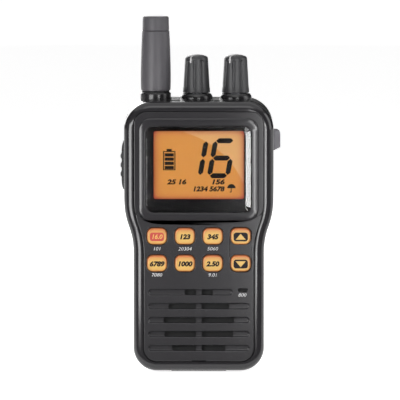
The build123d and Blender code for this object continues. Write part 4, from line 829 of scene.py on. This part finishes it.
class RADIO_OT_surround(bpy.types.Operator):
    """Moulded frame of the display with its raised ridge"""
    bl_idname = "radio.surround"
    bl_label = "Display surround"

    def execute(self, context):
        inset = mm("rim") + mm("groove")
        middle = mm("lens_centre")
        piece = body_prism("lens_frame", inset, FRONT_Y, PANEL_BACK_Y, top_radius=5.2)
        boolean(piece, [swoop_prism("above", 0.0)], "INTERSECT")
        foot = FRONT_Y - 0.02
        ridge = rounded_block("ridge", 0, 87.15, mm("ridge_width"), mm("ridge_height"), 5.0,
                              foot, PANEL_BACK_Y + 0.1)
        crown(ridge, foot, ((0.12, 0.2), (0.2, 0.15), (0.25, 0.1), (1.6, 0.33)))
        boolean(piece, [ridge], "UNION")
        boolean(piece, [rounded_block("opening", 0, middle, mm("lens_width"), mm("lens_height"), 3.4,
                                      RIDGE_Y - 1, PANEL_BACK_Y + 1)])
        # the lens opening's rim, then the plate's outline outside the ridge
        half_x, half_z = mm("lens_width") / 2 + 0.02, mm("lens_height") / 2 + 0.02
        bevel(piece, lambda a, b: edges_at_y(RIDGE_Y)(a, b) and max(abs(a.x), abs(b.x)) < half_x
              and max(abs(a.z - middle), abs(b.z - middle)) < half_z, 0.5, 4)
        reach, over, under = mm("ridge_width") / 2 + 0.05, 109.2, 65.1
        bevel(piece, lambda a, b: edges_at_y(FRONT_Y)(a, b) and (
            min(abs(a.x), abs(b.x)) > reach or min(a.z, b.z) > over or max(a.z, b.z) < under), 0.3, 4)
        done(smooth(piece), "radio", "panel_plastic", "display_surround", look="surround_plastic")
        return {"FINISHED"}


class RADIO_OT_lens(bpy.types.Operator):
    """Clear lens, the black print behind it and the lit display"""
    bl_idname = "radio.lens"
    bl_label = "Lens and display"

    def execute(self, context):
        middle, window = mm("lens_centre"), mm("window_centre")
        sheet = mm("lens_width") - 2 * GAP, mm("lens_height") - 2 * GAP, 3.2
        rings = ((0.25, 0.1), (2.15, 0.38))
        edge = RIDGE_Y + 0.3 + 0.48
        lens = rounded_block("lens", 0, middle, *sheet, edge, PANEL_BACK_Y - 0.15, 14)
        crown(lens, edge, rings)
        done(smooth(lens, angle=8.0), "radio", "lens_clear", "display_lens")
        mask = rounded_block("lens_mask", 0, middle, *sheet, PANEL_BACK_Y - 0.12, PANEL_BACK_Y)
        wide, tall = mm("window_width"), mm("window_height")
        overlap, margin = 0.3, 2.4
        boolean(mask, [rounded_block("opening", 0, window, wide - overlap, tall - overlap, 1.0,
                                     PANEL_BACK_Y - 1, PANEL_BACK_Y + 1)])
        done(smooth(mask), "radio", "lens_clear", look="back_print")
        glass = rounded_block("display_glass", 0, window, wide + margin, tall + margin, 0.8,
                              FRONT_WALL_Y, FRONT_WALL_Y + 2.2)
        done(smooth(glass, 0.1), "radio", "lcd_amber", "lcd_glass")
        return {"FINISHED"}


PRINT_LEAN = 0.2
PRINT_RELIEF = 0.015


def printed(name, text, x, z, size, y, weight=0.0, width=1.0):
    """Raised print of a plain number, centred on a point of a front face."""
    alone(None)
    bpy.ops.object.text_add()
    piece = bpy.context.object
    piece.name = name
    piece.data.body = text
    piece.data.size = size * MM
    piece.data.shear = PRINT_LEAN
    piece.data.offset = weight * MM
    piece.data.extrude = PRINT_RELIEF * MM
    piece.data.align_x = piece.data.align_y = "CENTER"
    piece.data.resolution_u = 3
    alone(piece)
    bpy.ops.object.convert(target="MESH")
    piece = bpy.context.object
    turn = Matrix.Translation(Vector((x, y, z)) * MM) @ Matrix.Rotation(math.radians(90), 4, "X")
    piece.data.transform(turn @ Matrix.Diagonal((width, 1, 1, 1)))
    return tidy(piece)


SEGMENT = 2.15             # thickness of a digit's bar
DIGIT_LEAN = 0.18
MARK_FRONT, MARK_BACK = FRONT_WALL_Y - 0.04, FRONT_WALL_Y - 0.01


def mark_block(name, x_low, z_low, x_high, z_high):
    """Flat mark on the display."""
    return block(name, (x_low, MARK_FRONT, z_low), (x_high, MARK_BACK, z_high))


def segment(x, z, long, upright):
    """One bar of a seven-bar digit, with pointed ends, before it is leant."""
    half, thick = long / 2, SEGMENT / 2
    wide, tall = (thick, half) if upright else (half, thick)
    return bevel(mark_block("bar", x - wide, z - tall, x + wide, z + tall), edges_along_y(), thick * 0.94, 1)


def lean(piece, z_foot):
    """Lean a flat mark to the right above a height."""
    slope = Matrix.Identity(4)
    slope[0][2] = DIGIT_LEAN
    slope[0][3] = -DIGIT_LEAN * z_foot * MM
    piece.data.transform(slope)
    return piece


class RADIO_OT_display_marks(bpy.types.Operator):
    """Digits and signs on the display"""
    bl_idname = "radio.display_marks"
    bl_label = "Display marks"

    def execute(self, context):
        foot, middle, head = 84.25, 91.8, 99.2
        one, six_left, six_right = 0.5, 4.5, 12.2
        bars = [segment(x, (middle + end) / 2, 6.85, True) for x, end in (
            (one, head), (one, foot), (six_left, head), (six_left, foot), (six_right, foot))]
        bars += [segment((six_left + six_right) / 2, z, 7.2, False) for z in (foot, middle, head)]
        digits = lean(merge("display_digits", bars), foot)
        marks = self.battery_sign(-12.6, 90.8)
        marks += [printed("mark", text, x, z, 2.8, MARK_FRONT, weight=0.14, width=width)
                  for text, x, z, width in (("25 16", -9.5, 81.5, 1.25), ("156", 8.0, 81.5, 1.35),
                                            ("1234 5678", 4.0, 78.5, 1.12))]
        signs = merge("display_signs", marks + self.umbrella_sign(13.9, 78.9))
        for piece in (digits, signs):
            done(smooth(piece), "radio", "lcd_amber", look="black_print")
        return {"FINISHED"}

    def battery_sign(self, x, z):
        """Upright cell with four bars of charge."""
        cell = mark_block("cell", x - 2.65, z - 4.2, x + 2.65, z + 4.0)
        boolean(cell, [block("room", (x - 2.2, MARK_FRONT - 1, z - 3.85), (x + 2.2, MARK_BACK + 1, z + 3.6))])
        marks = [cell, mark_block("nub", x - 1.1, z + 4.0, x + 1.1, z + 4.9)]
        for i in range(4):
            step = z - 3.75 + i * 1.8
            marks.append(mark_block("bar", x - 1.95, step, x + 1.95, step + 1.4))
        return marks

    def umbrella_sign(self, x, z):
        """Half a disc over a stick with a hook."""
        canopy = rod("canopy", (x, MARK_FRONT, z), (x, MARK_BACK, z), 1.8, sides=24)
        boolean(canopy, [block("half", (0, -FAR, 0), (FAR, FAR, z))])
        return [canopy, mark_block("stick", x - 0.3, z - 1.7, x + 0.1, z + 0.1),
                mark_block("hook", x - 0.7, z - 1.8, x, z - 1.4)]


class RADIO_OT_keys(bpy.types.Operator):
    """Eight lit key caps with their prints"""
    bl_idname = "radio.keys"
    bl_label = "Keys"

    def execute(self, context):
        width, height = mm("key_width"), mm("key_height")
        face = FRONT_Y - 0.84
        for name, (x, z) in KEYS.items():
            piece = rounded_block(name + "_cap", x, z, width, height, 2.5, face, -14.9)
            bevel(piece, edges_at_y(face), 0.7, 5)
            smooth(piece)
            layer = piece.data.uv_layers.new(name="cap")
            for loop in piece.data.loops:
                place = piece.data.vertices[loop.vertex_index].co / MM
                layer.data[loop.index].uv = ((place.x - x) / (width / 2), (place.z - z) / (height / 2))
            done(piece, name + "_cap", "key_amber", name)
        y = face - 0.012
        for name, side in (("key_up", 1), ("key_down", -1)):
            self.print_arrow(name, side, y)
        field = rounded_block("red_field", -17.85, 58.4, 6.0, 3.7, 1.1, y - 0.01, y + 0.02)
        done(smooth(field), "key_red_cap", "key_amber", look="red_print")
        number = printed("key_red_number", "16.0", -17.95, 58.35, 2.6, y - 0.03, weight=0.06, width=1.05)
        done(smooth(number), "key_red_cap", "key_amber")
        for name, text in (("key_weather", "123"), ("key_channel", "345"), ("key_scan", "6789"),
                           ("key_memory", "1000"), ("key_power", "2.50")):
            x, z = KEYS[name]
            number = printed(name + "_number", text, x - 0.1, z - 0.3, 2.8, y, weight=0.16, width=1.1)
            done(smooth(number), name + "_cap", "key_amber", look="black_print")
        return {"FINISHED"}

    def print_arrow(self, name, side, y):
        """Black field on a key, with a triangle left open that points up (side 1) or down (-1)."""
        x, z = KEYS[name]
        z -= 0.25
        field = rounded_block(name + "_field", x, z, 6.1, 3.8, 1.2, y - 0.01, y + 0.02)
        arrow = rod("arrow", (x, y - 1, z), (x, y + 1, z), 2.0, sides=3)
        first = arrow.data.vertices[0].co / MM - Vector((x, 0, z))
        home = Matrix.Translation(Vector((-x, 0, -z)) * MM)
        turn = Matrix.Rotation(math.atan2(first.z, first.x) - math.pi / 2 * side, 4, "Y")
        squeeze = Matrix.Diagonal((1.25, 1, 0.85, 1))
        centre = Matrix.Translation(Vector((x, 0, z - 0.35 * side)) * MM)
        arrow.data.transform(centre @ squeeze @ turn @ home)
        boolean(field, [arrow])
        done(smooth(field), name + "_cap", "key_amber", look="black_print")


class RADIO_OT_prints(bpy.types.Operator):
    """Small white numbers under the keys and the sign at the microphone"""
    bl_idname = "radio.prints"
    bl_label = "Panel prints"

    def execute(self, context):
        y = FRONT_Y - 0.01
        marks = [printed("mark", text, x, z, 2.1, y, weight=-0.015, width=1.1) for text, x, z in (
            ("101", -17.9, 53.15), ("20304", -6.0, 53.1), ("5060", 5.8, 53.15), ("7080", -18.0, 41.95),
            ("9.01", 5.9, 41.9), ("800", 18.5, 33.35))]
        piece = merge("panel_prints", marks)
        done(smooth(piece), "radio", "panel_plastic", look="white_print")
        gauze = rounded_block("mic_gauze", MIC_X, MIC_Z, 3.9, 1.2, 0.5, PANEL_BACK_Y - 0.6,
                              PANEL_BACK_Y - 0.4)
        done(smooth(gauze), "radio", "membrane")
        return {"FINISHED"}


FLUTES = 9
FLUTE_RADIUS = 0.85
POINTER_ANGLE = math.radians(-120)


class RADIO_OT_knobs(bpy.types.Operator):
    """Two fluted knobs with white pointers"""
    bl_idname = "radio.knobs"
    bl_label = "Knobs"

    def execute(self, context):
        low, wide, narrow = COLLAR_TOP + 0.4, mm("knob_radius"), mm("knob_top_radius")
        top = low + mm("knob_height")
        shoulder = top - 0.9
        for name, x in KNOBS_X.items():
            knob = turned(name + "_grip", x, (
                (wide - 0.25, low), (wide, low + 0.25), (wide - 0.12, low + 1.9), (wide - 0.22, low + 2.1),
                (narrow + 0.12, shoulder - 1.0), (narrow, shoulder - 0.5), (narrow - 0.25, shoulder - 0.1),
                (narrow - 0.6, shoulder + 0.15), (narrow * 0.6, shoulder + 0.6), (narrow * 0.2, top - 0.03),
                (0.15, top)))
            tools = []
            for i in range(FLUTES):
                angle = POINTER_ANGLE + (i + 0.5) * 2 * math.pi / FLUTES
                way = Vector((math.cos(angle), math.sin(angle), 0))
                foot = Vector((x, TOP_LINE_Y, low + 2.7)) + way * (wide + 0.28)
                head = Vector((x, TOP_LINE_Y, low + 13.4)) + way * (narrow + 0.42)
                tools += [rod("flute", foot, head, FLUTE_RADIUS, sides=20),
                          ball("flute_end", foot, FLUTE_RADIUS), ball("flute_end", head, FLUTE_RADIUS)]
            tools.append(post("pocket", x, low - 1, low + 2.6, 4.7))
            tools.append(post("shaft_bore", x, low, low + 11.6, 1.5, 24))
            boolean(knob, tools)
            done(smooth(knob, BREAK), name + "_control", "knob_plastic", name + "_knob")
            self.add_pointer(name, x, top, shoulder, narrow)
        return {"FINISHED"}

    def add_pointer(self, name, x, top, shoulder, narrow):
        """White line that comes over the shoulder of a knob."""
        line = turned(name + "_pointer", x, (
            (narrow + 0.26, shoulder - 3.0), (narrow + 0.14, shoulder - 1.0), (narrow + 0.03, shoulder - 0.5),
            (narrow - 0.22, shoulder - 0.07), (narrow - 0.57, shoulder + 0.18),
            (narrow * 0.6, shoulder + 0.63), (narrow * 0.4, shoulder + 0.78)))
        keep = block("keep", (0, -0.33, shoulder - 2.6), (narrow + 1, 0.33, top + 1))
        keep.data.transform(Matrix.Translation(Vector((x, TOP_LINE_Y, 0)) * MM)
                            @ Matrix.Rotation(POINTER_ANGLE, 4, "Z"))
        boolean(line, [keep], "INTERSECT")
        inner = turned("inner", x, ((narrow - 0.3, shoulder - 4), (narrow - 0.9, shoulder - 0.6)))
        boolean(line, [inner])
        done(smooth(line), name + "_control", "knob_plastic", look="white_print")


def ball(name, centre, radius):
    """Round tool."""
    alone(None)
    bpy.ops.mesh.primitive_uv_sphere_add(segments=20, ring_count=12, radius=radius * MM,
                                         location=Vector(centre) * MM)
    return named(name)


class RADIO_OT_antenna(bpy.types.Operator):
    """Rubber antenna with its foot, seam and end cap"""
    bl_idname = "radio.antenna"
    bl_label = "Antenna"

    def execute(self, context):
        wide, top = mm("antenna_radius"), mm("antenna_top")
        foot, seam = 119.3, 145.1
        sheath = turned("antenna_cover", ANTENNA_X, (
            (wide - 0.6, foot), (wide - 0.15, foot + 0.3), (wide - 0.05, foot + 1.2), (wide, foot + 4),
            (wide, foot + 8), (wide - 0.08, foot + 12), (wide - 0.25, foot + 18), (wide - 0.45, foot + 23),
            (wide - 0.6, seam - 0.2), (wide - 0.8, seam)))
        boolean(sheath, [post("bore", ANTENNA_X, foot - 1, foot + 8, 2.4)])
        done(smooth(sheath), "antenna", "antenna_rubber", "antenna_sheath")
        cap = turned("antenna_end", ANTENNA_X, (
            (wide - 0.95, seam + 0.1), (wide - 0.72, seam + 0.3), (wide - 0.85, top - 0.8),
            (wide - 0.95, top - 0.35), (wide - 1.25, top - 0.05), (wide - 1.6, top)))
        done(smooth(cap), "antenna", "antenna_rubber", "antenna_cap")
        seal = turned("antenna_washer", ANTENNA_X, (
            (5.75, foot - 0.65), (5.9, foot - 0.5), (5.9, foot - 0.2), (5.75, foot - 0.05)))
        boolean(seal, [post("bore", ANTENNA_X, foot - 9, foot + 11, 2.45)])
        done(smooth(seal), "antenna_lift", "gasket_rubber", "antenna_seal")
        return {"FINISHED"}


class RADIO_OT_talk(bpy.types.Operator):
    """Side button with its ribs"""
    bl_idname = "radio.talk"
    bl_label = "Talk button"

    def execute(self, context):
        side = -mm("upper_width") / 2
        low, high, half, proud = 77.3, 98.4, 4.8, 1.25
        middle = (low + high) / 2
        root = side + 3.0
        piece = rounded_side_block("talk_pad", half, middle, (high - low) / 2, 1.2, side - proud, root)
        # its face is flat over 11 mm and falls away in an arc towards both ends
        flat, end, steps = 5.5, 10.55, 8
        for way in (-1, 1):
            for i in range(1, steps):
                slice_piece(piece, (0, 0, middle + way * (flat + i * 0.62)), (0, 0, 1))
        face = [abs(p.co.z / MM - middle) for p in piece.data.vertices if p.co.x / MM < side - 1]
        for reach in sorted({round(r, 2) for r in face if r > flat + 0.1}):
            share = (reach - flat) / (end - flat)
            drop = proud * (1 - math.sqrt(max(0.0, 1 - share ** 2)))
            shift(piece, lambda p: p.x < side - 1.2 and abs(abs(p.z - middle) - reach) < 0.02, (drop, 0, 0))
        rib_step, rib_front, rib_y, rib_z = 3.85, side - 1.7, 3.6, 0.95
        for i in (-1, 0, 1):
            z = middle + i * rib_step
            rib = block("rib", (rib_front, SIDE_LINE_Y - rib_y, z - rib_z),
                        (side - 0.5, SIDE_LINE_Y + rib_y, z + rib_z))
            bevel(rib, lambda a, b: max(a.x, b.x) < rib_front + 0.1, 0.35, 3)
            boolean(piece, [rib], "UNION")
        piece = boolean(piece, [block("flange", (root - 0.8, SIDE_LINE_Y - 5.5, low - 0.7),
                                      (root, SIDE_LINE_Y + 5.5, high + 0.7))], "UNION")
        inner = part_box("talk_button")[1].x / MM - 1.8
        boolean(piece, [block("limit", (inner, -FAR, 0), (FAR, FAR, FAR))])
        done(smooth(piece, 0.15), "talk", "button_rubber", "talk_button")
        return {"FINISHED"}


class RADIO_OT_jack_cover(bpy.types.Operator):
    """Rubber flap over the accessory jack"""
    bl_idname = "radio.jack_cover"
    bl_label = "Jack cover"

    def execute(self, context):
        low, high = (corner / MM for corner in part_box("jack_cover"))
        inner = mm("upper_width") / 2 + 0.05
        piece = block("jack_flap_pad", (inner, low.y, low.z), (high.x, high.y, high.z))
        bevel(piece, lambda a, b: min(a.z, b.z) > high.z - 0.1 and min(a.x, b.x) > inner + 1, 1.9, 6)
        shift(piece, lambda p: p.x > high.x - 0.1 and p.z < low.z + 0.1, (0, 0, 1.5))
        plug_y, plug_low, plug_high = 2.7, 95.8, 101.2
        boolean(piece, [block("plug", (low.x, SIDE_LINE_Y - plug_y, plug_low),
                              (inner + 1, SIDE_LINE_Y + plug_y, plug_high))], "UNION")
        done(smooth(piece, 0.35, 3), "jack_flap", "grey_rubber", "jack_cover")
        return {"FINISHED"}


class RADIO_OT_battery(bpy.types.Operator):
    """Battery shell and the latch above it"""
    bl_idname = "radio.battery"
    bl_label = "Battery"

    def execute(self, context):
        piece = body_prism("battery_shell", 0, BATTERY_FACE_Y + GAP, BACK_Y, edge_y=BACK_Y)
        face = BATTERY_FACE_Y + GAP
        boolean(piece, [block("upper_block", (-FAR, -FAR, SPLIT_Z - GAP), (FAR, FAR, FAR))])
        inner = mm("lower_width") / 2 - 1.6
        tools = [
            block("cell_room", (-inner, 0, 7.6), (inner, 15.8, 84.2)),
            block("tongue_notch", (-5.1, 15.4, 85.7), (5.1, 18.2, FAR)),
            block("toe", (-FAR, 0, -1), (FAR, face, HOOK_Z)),
        ]
        # the foot's front edge is cut back, so that the battery can tilt
        wedge = block("wedge", (-FAR, 5.0, -1.0), (FAR, face, HOOK_Z))
        shift(wedge, lambda p: p.y > 9 and p.z < 0, (0, (HOOK_Z + 1) * math.tan(math.radians(31)), 0))
        tools.append(wedge)
        tools += [rod("screw_hole", (0, 16, z), (0, FAR, z), 1.1, sides=24) for z in (59.8, 68.2)]
        boolean(piece, tools)
        half = 4
        bars = [hook_bar("bar", x, half, 1.0) for x in HOOKS_X]
        bars += [block("arm", (x - half, HOOK_Y, HOOK_Z + 0.05), (x + half, 10, HOOK_Z + 0.8))
                 for x in HOOKS_X]
        boolean(piece, bars, "UNION")
        done(smooth(piece, 0.15), "battery", "case_plastic", "battery_case")
        self.add_latch()
        return {"FINISHED"}

    def add_latch(self):
        """Thumb slide with ribs, a flange and its tongue."""
        low, high = (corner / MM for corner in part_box("battery_latch"))
        foot = low.z + 4.3
        plate = block("latch_slide", (-6.7, low.y, foot), (6.7, high.y, high.z))
        step, half = 2.15, 0.45
        boolean(plate, [block("groove", (-6, high.y - 0.5, foot + i * step - half),
                              (6, high.y + 1, foot + i * step + half)) for i in (1, 2, 3)])
        boolean(plate, [block("flange", (low.x, low.y, foot), (high.x, low.y + 1.3, high.z)),
                        block("tongue", (-4.7, low.y, low.z), (4.7, low.y + 2.0, foot + 1))], "UNION")
        done(smooth(plate, 0.2, 3), "latch", "latch_plastic", "battery_latch")


class RADIO_OT_belt_clip(bpy.types.Operator):
    """Belt clip with its ears and bead"""
    bl_idname = "radio.belt_clip"
    bl_label = "Belt clip"

    def execute(self, context):
        low, high = (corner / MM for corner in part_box("belt_clip"))
        wide = mm("clip_width") / 2
        piece = block("clip_plate", (-wide, high.y - 2.0, low.z), (wide, high.y, high.z))
        slice_piece(piece, (0, 0, high.z - 12), (0, 0, 1))
        for side in (-1, 1):
            shift(piece, lambda p: p.z < low.z + 1 and side * p.x > 1, (-3 * side, 0, 0))
        bevel(piece, edges_along_y(lambda p: p.z < low.z + 1 or p.z > high.z - 1), 3.0, 8)
        pin_y, pin_z, eye = 21.95, 76.0, 2.6
        parts = []
        for x in (-7, 7):
            near, far = x - 1.2, x + 1.2
            parts += [block("ear", (near, pin_y, pin_z - 3.2), (far, high.y - 1, pin_z + eye)),
                      rod("eye", (near, pin_y, pin_z), (far, pin_y, pin_z), eye, sides=40)]
        bead_x, bead_y, bead_z, radius = 6.5, low.y + 1.9, low.z + 6, 1.9
        parts += [rod("bead", (-bead_x, bead_y, bead_z), (bead_x, bead_y, bead_z), radius, sides=32),
                  block("web", (-bead_x, bead_y, bead_z - 1.6), (bead_x, high.y - 1, bead_z + 1.6))]
        boolean(piece, parts, "UNION")
        boolean(piece, [rod("bore", (-30, pin_y, pin_z), (30, pin_y, pin_z), 1.25, sides=32)])
        done(smooth(piece, 0.3, 3), "clip", "clip_plastic", "belt_clip")
        return {"FINISHED"}


# ---------------------------------------------------------------- stage
BODY_MIDDLE = (0, 0, 0.075)

# name, place, point that it faces, width and height in metres, and power in watts
LAMPS = (
    ("left_softbox", (-0.1545, -0.198, 0.07), (0, 0, 0.07), (0.125, 0.14), 0.52),
    ("right_strip", (0.11, -0.28, 0.065), (0.02, 0, 0.065), (0.034, 0.12), 0.22),
    ("front_lamp", (0.047, -0.17, 0.08), (0.02, 0, 0.05), (0.03, 0.16), 0.09),
    ("top_softbox", (0, 0.9, 0.45), (0, 0, 0.12), (0.9, 0.4), 0.4),
    ("right_softbox", (1.3, -0.2, 0.5), BODY_MIDDLE, (0.8, 1.0), 7),
    ("back_softbox", (-0.3, 0.7, 0.35), BODY_MIDDLE, (0.6, 0.5), 4.5),
    ("front_softbox", (0, -0.7, 0.9), BODY_MIDDLE, (0.7, 0.5), 1.5),
)


def lamp(name, place, target, size, power):
    """Soft rectangular lamp."""
    data = bpy.data.lights.new(name, "AREA")
    data.shape = "RECTANGLE"
    data.size, data.size_y = size
    data.energy = power
    holder = bpy.data.objects.new(name, data)
    bpy.context.scene.collection.objects.link(holder)
    holder.visible_camera = False
    holder.location = place
    holder.rotation_euler = (Vector(target) - Vector(place)).to_track_quat("-Z", "Y").to_euler()


def seen_directly(tree):
    """1 for what the camera sees, also in a mirror or through glass, and 0 for light in a room."""
    path = add(tree, "LightPath")
    total = path.outputs["Is Camera Ray"]
    for ray in ("Is Glossy Ray", "Is Transmission Ray"):
        total = calc(tree, "MAXIMUM", total, path.outputs[ray])
    return total


def backdrop_material():
    """Matt painted board: plain white to the eye, pale grey for the light it throws back."""
    material, tree, shader, place = begin("matt_painted_board")
    fit(shader, {"Roughness": 0.9}, {"Base Color": mottled(tree, place, (0.8, 0.8, 0.8, 1), 300.0, 0.01)})
    glow = add(tree, "Emission", values={"Color": (1, 1, 1, 1), "Strength": 0.85})
    both = add(tree, "AddShader", links={0: shader.outputs[0], 1: glow.outputs[0]})
    mix = add(tree, "MixShader",
              links={0: seen_directly(tree), 1: shader.outputs[0], 2: both.outputs[0]})
    tree.links.new(mix.outputs[0], tree.nodes["Material Output"].inputs["Surface"])
    return material


PICTURE_WIDTH = 0.172      # metres across the picture at the body's middle
PICTURE_MIDDLE = (0.00051, 0.0, 0.07242)
CAMERA_DISTANCE = 2.0
CAMERA_ELEVATION = math.radians(5.0)
SENSOR = 36.0


def flag(piece):
    """Black velvet that only reflections see: it keeps flat faces and side edges dark."""
    piece.data.materials.append(FINISH["velvet"])
    for ray in ("camera", "diffuse", "shadow", "volume_scatter"):
        setattr(piece, "visible_" + ray, False)


class RADIO_OT_stage(bpy.types.Operator):
    """Floor, velvet flags, lamps, world and camera"""
    bl_idname = "radio.stage"
    bl_label = "Stage"

    def execute(self, context):
        alone(None)
        bpy.ops.mesh.primitive_plane_add(size=60, location=(0, 0, -0.0004))
        floor = named("floor")
        floor.data.materials.append(backdrop_material())
        reach = 2500
        flag(block("floor_flag", (-reach, -reach, -0.2), (reach, -26, -0.1)))
        tent = rod("side_flags", (0, 0, -100), (0, 0, reach + 100), reach + 100)
        edit(tent, "FACE", lambda centre, direction: abs(direction.z) > 0.5)
        bpy.ops.mesh.delete(type="FACE")
        flag(alone(tent))
        for row in LAMPS:
            lamp(*row)
        self.make_world(context.scene)
        self.make_camera(context.scene)
        return {"FINISHED"}

    def make_world(self, scene):
        """Even surroundings that look white to the camera, in mirrors and through glass."""
        world = bpy.data.worlds.new("studio")
        scene.world = world
        world.use_nodes = True
        tree = world.node_tree
        power = add(tree, "MapRange", values={"To Min": 0.15, "To Max": 1.0},
                    links={"Value": seen_directly(tree)})
        fit(tree.nodes["Background"], {"Color": (1, 1, 1, 1)}, {"Strength": power.outputs["Result"]})

    def make_camera(self, scene):
        """Long lens that looks at the front from a little above."""
        data = bpy.data.cameras.new("camera")
        data.sensor_width = SENSOR
        data.lens = SENSOR * CAMERA_DISTANCE / PICTURE_WIDTH
        data.clip_start = 0.05
        camera = bpy.data.objects.new("camera", data)
        scene.collection.objects.link(camera)
        away = Vector((0, -math.cos(CAMERA_ELEVATION), math.sin(CAMERA_ELEVATION)))
        camera.location = Vector(PICTURE_MIDDLE) + away * CAMERA_DISTANCE
        camera.rotation_euler = (-away).to_track_quat("-Z", "Y").to_euler()
        scene.camera = camera
        scene.view_settings.view_transform = "Standard"


class RADIO_PT_panel(bpy.types.Panel):
    """Sizes, colours and steps of the radio"""
    bl_idname = "RADIO_PT_panel"
    bl_label = "Marine radio"
    bl_space_type = "VIEW_3D"
    bl_region_type = "UI"
    bl_category = "Radio"

    def draw(self, context):
        for group in (context.scene.radio_sizes, context.scene.radio_colours):
            column = self.layout.column(align=True)
            for name in group.__annotations__:
                column.prop(group, name)
        for step in STEPS:
            self.layout.operator(step.bl_idname)


STEPS = (
    RADIO_OT_finishes, RADIO_OT_front_case, RADIO_OT_rear_case, RADIO_OT_front_panel, RADIO_OT_surround,
    RADIO_OT_lens, RADIO_OT_display_marks, RADIO_OT_keys, RADIO_OT_prints, RADIO_OT_knobs,
    RADIO_OT_antenna, RADIO_OT_talk, RADIO_OT_jack_cover, RADIO_OT_battery, RADIO_OT_belt_clip,
    RADIO_OT_stage)
CLASSES = (RADIO_PG_sizes, RADIO_PG_colours) + STEPS + (RADIO_PT_panel,)


def register():
    for item in CLASSES:
        bpy.utils.register_class(item)
    bpy.types.Scene.radio_sizes = bpy.props.PointerProperty(type=RADIO_PG_sizes)
    bpy.types.Scene.radio_colours = bpy.props.PointerProperty(type=RADIO_PG_colours)


def unregister():
    del bpy.types.Scene.radio_colours
    del bpy.types.Scene.radio_sizes
    for item in reversed(CLASSES):
        bpy.utils.unregister_class(item)


def main():
    register()
    for step in STEPS:
        group, action = step.bl_idname.split(".")
        getattr(getattr(bpy.ops, group), action)()


if __name__ == "__main__":
    main()
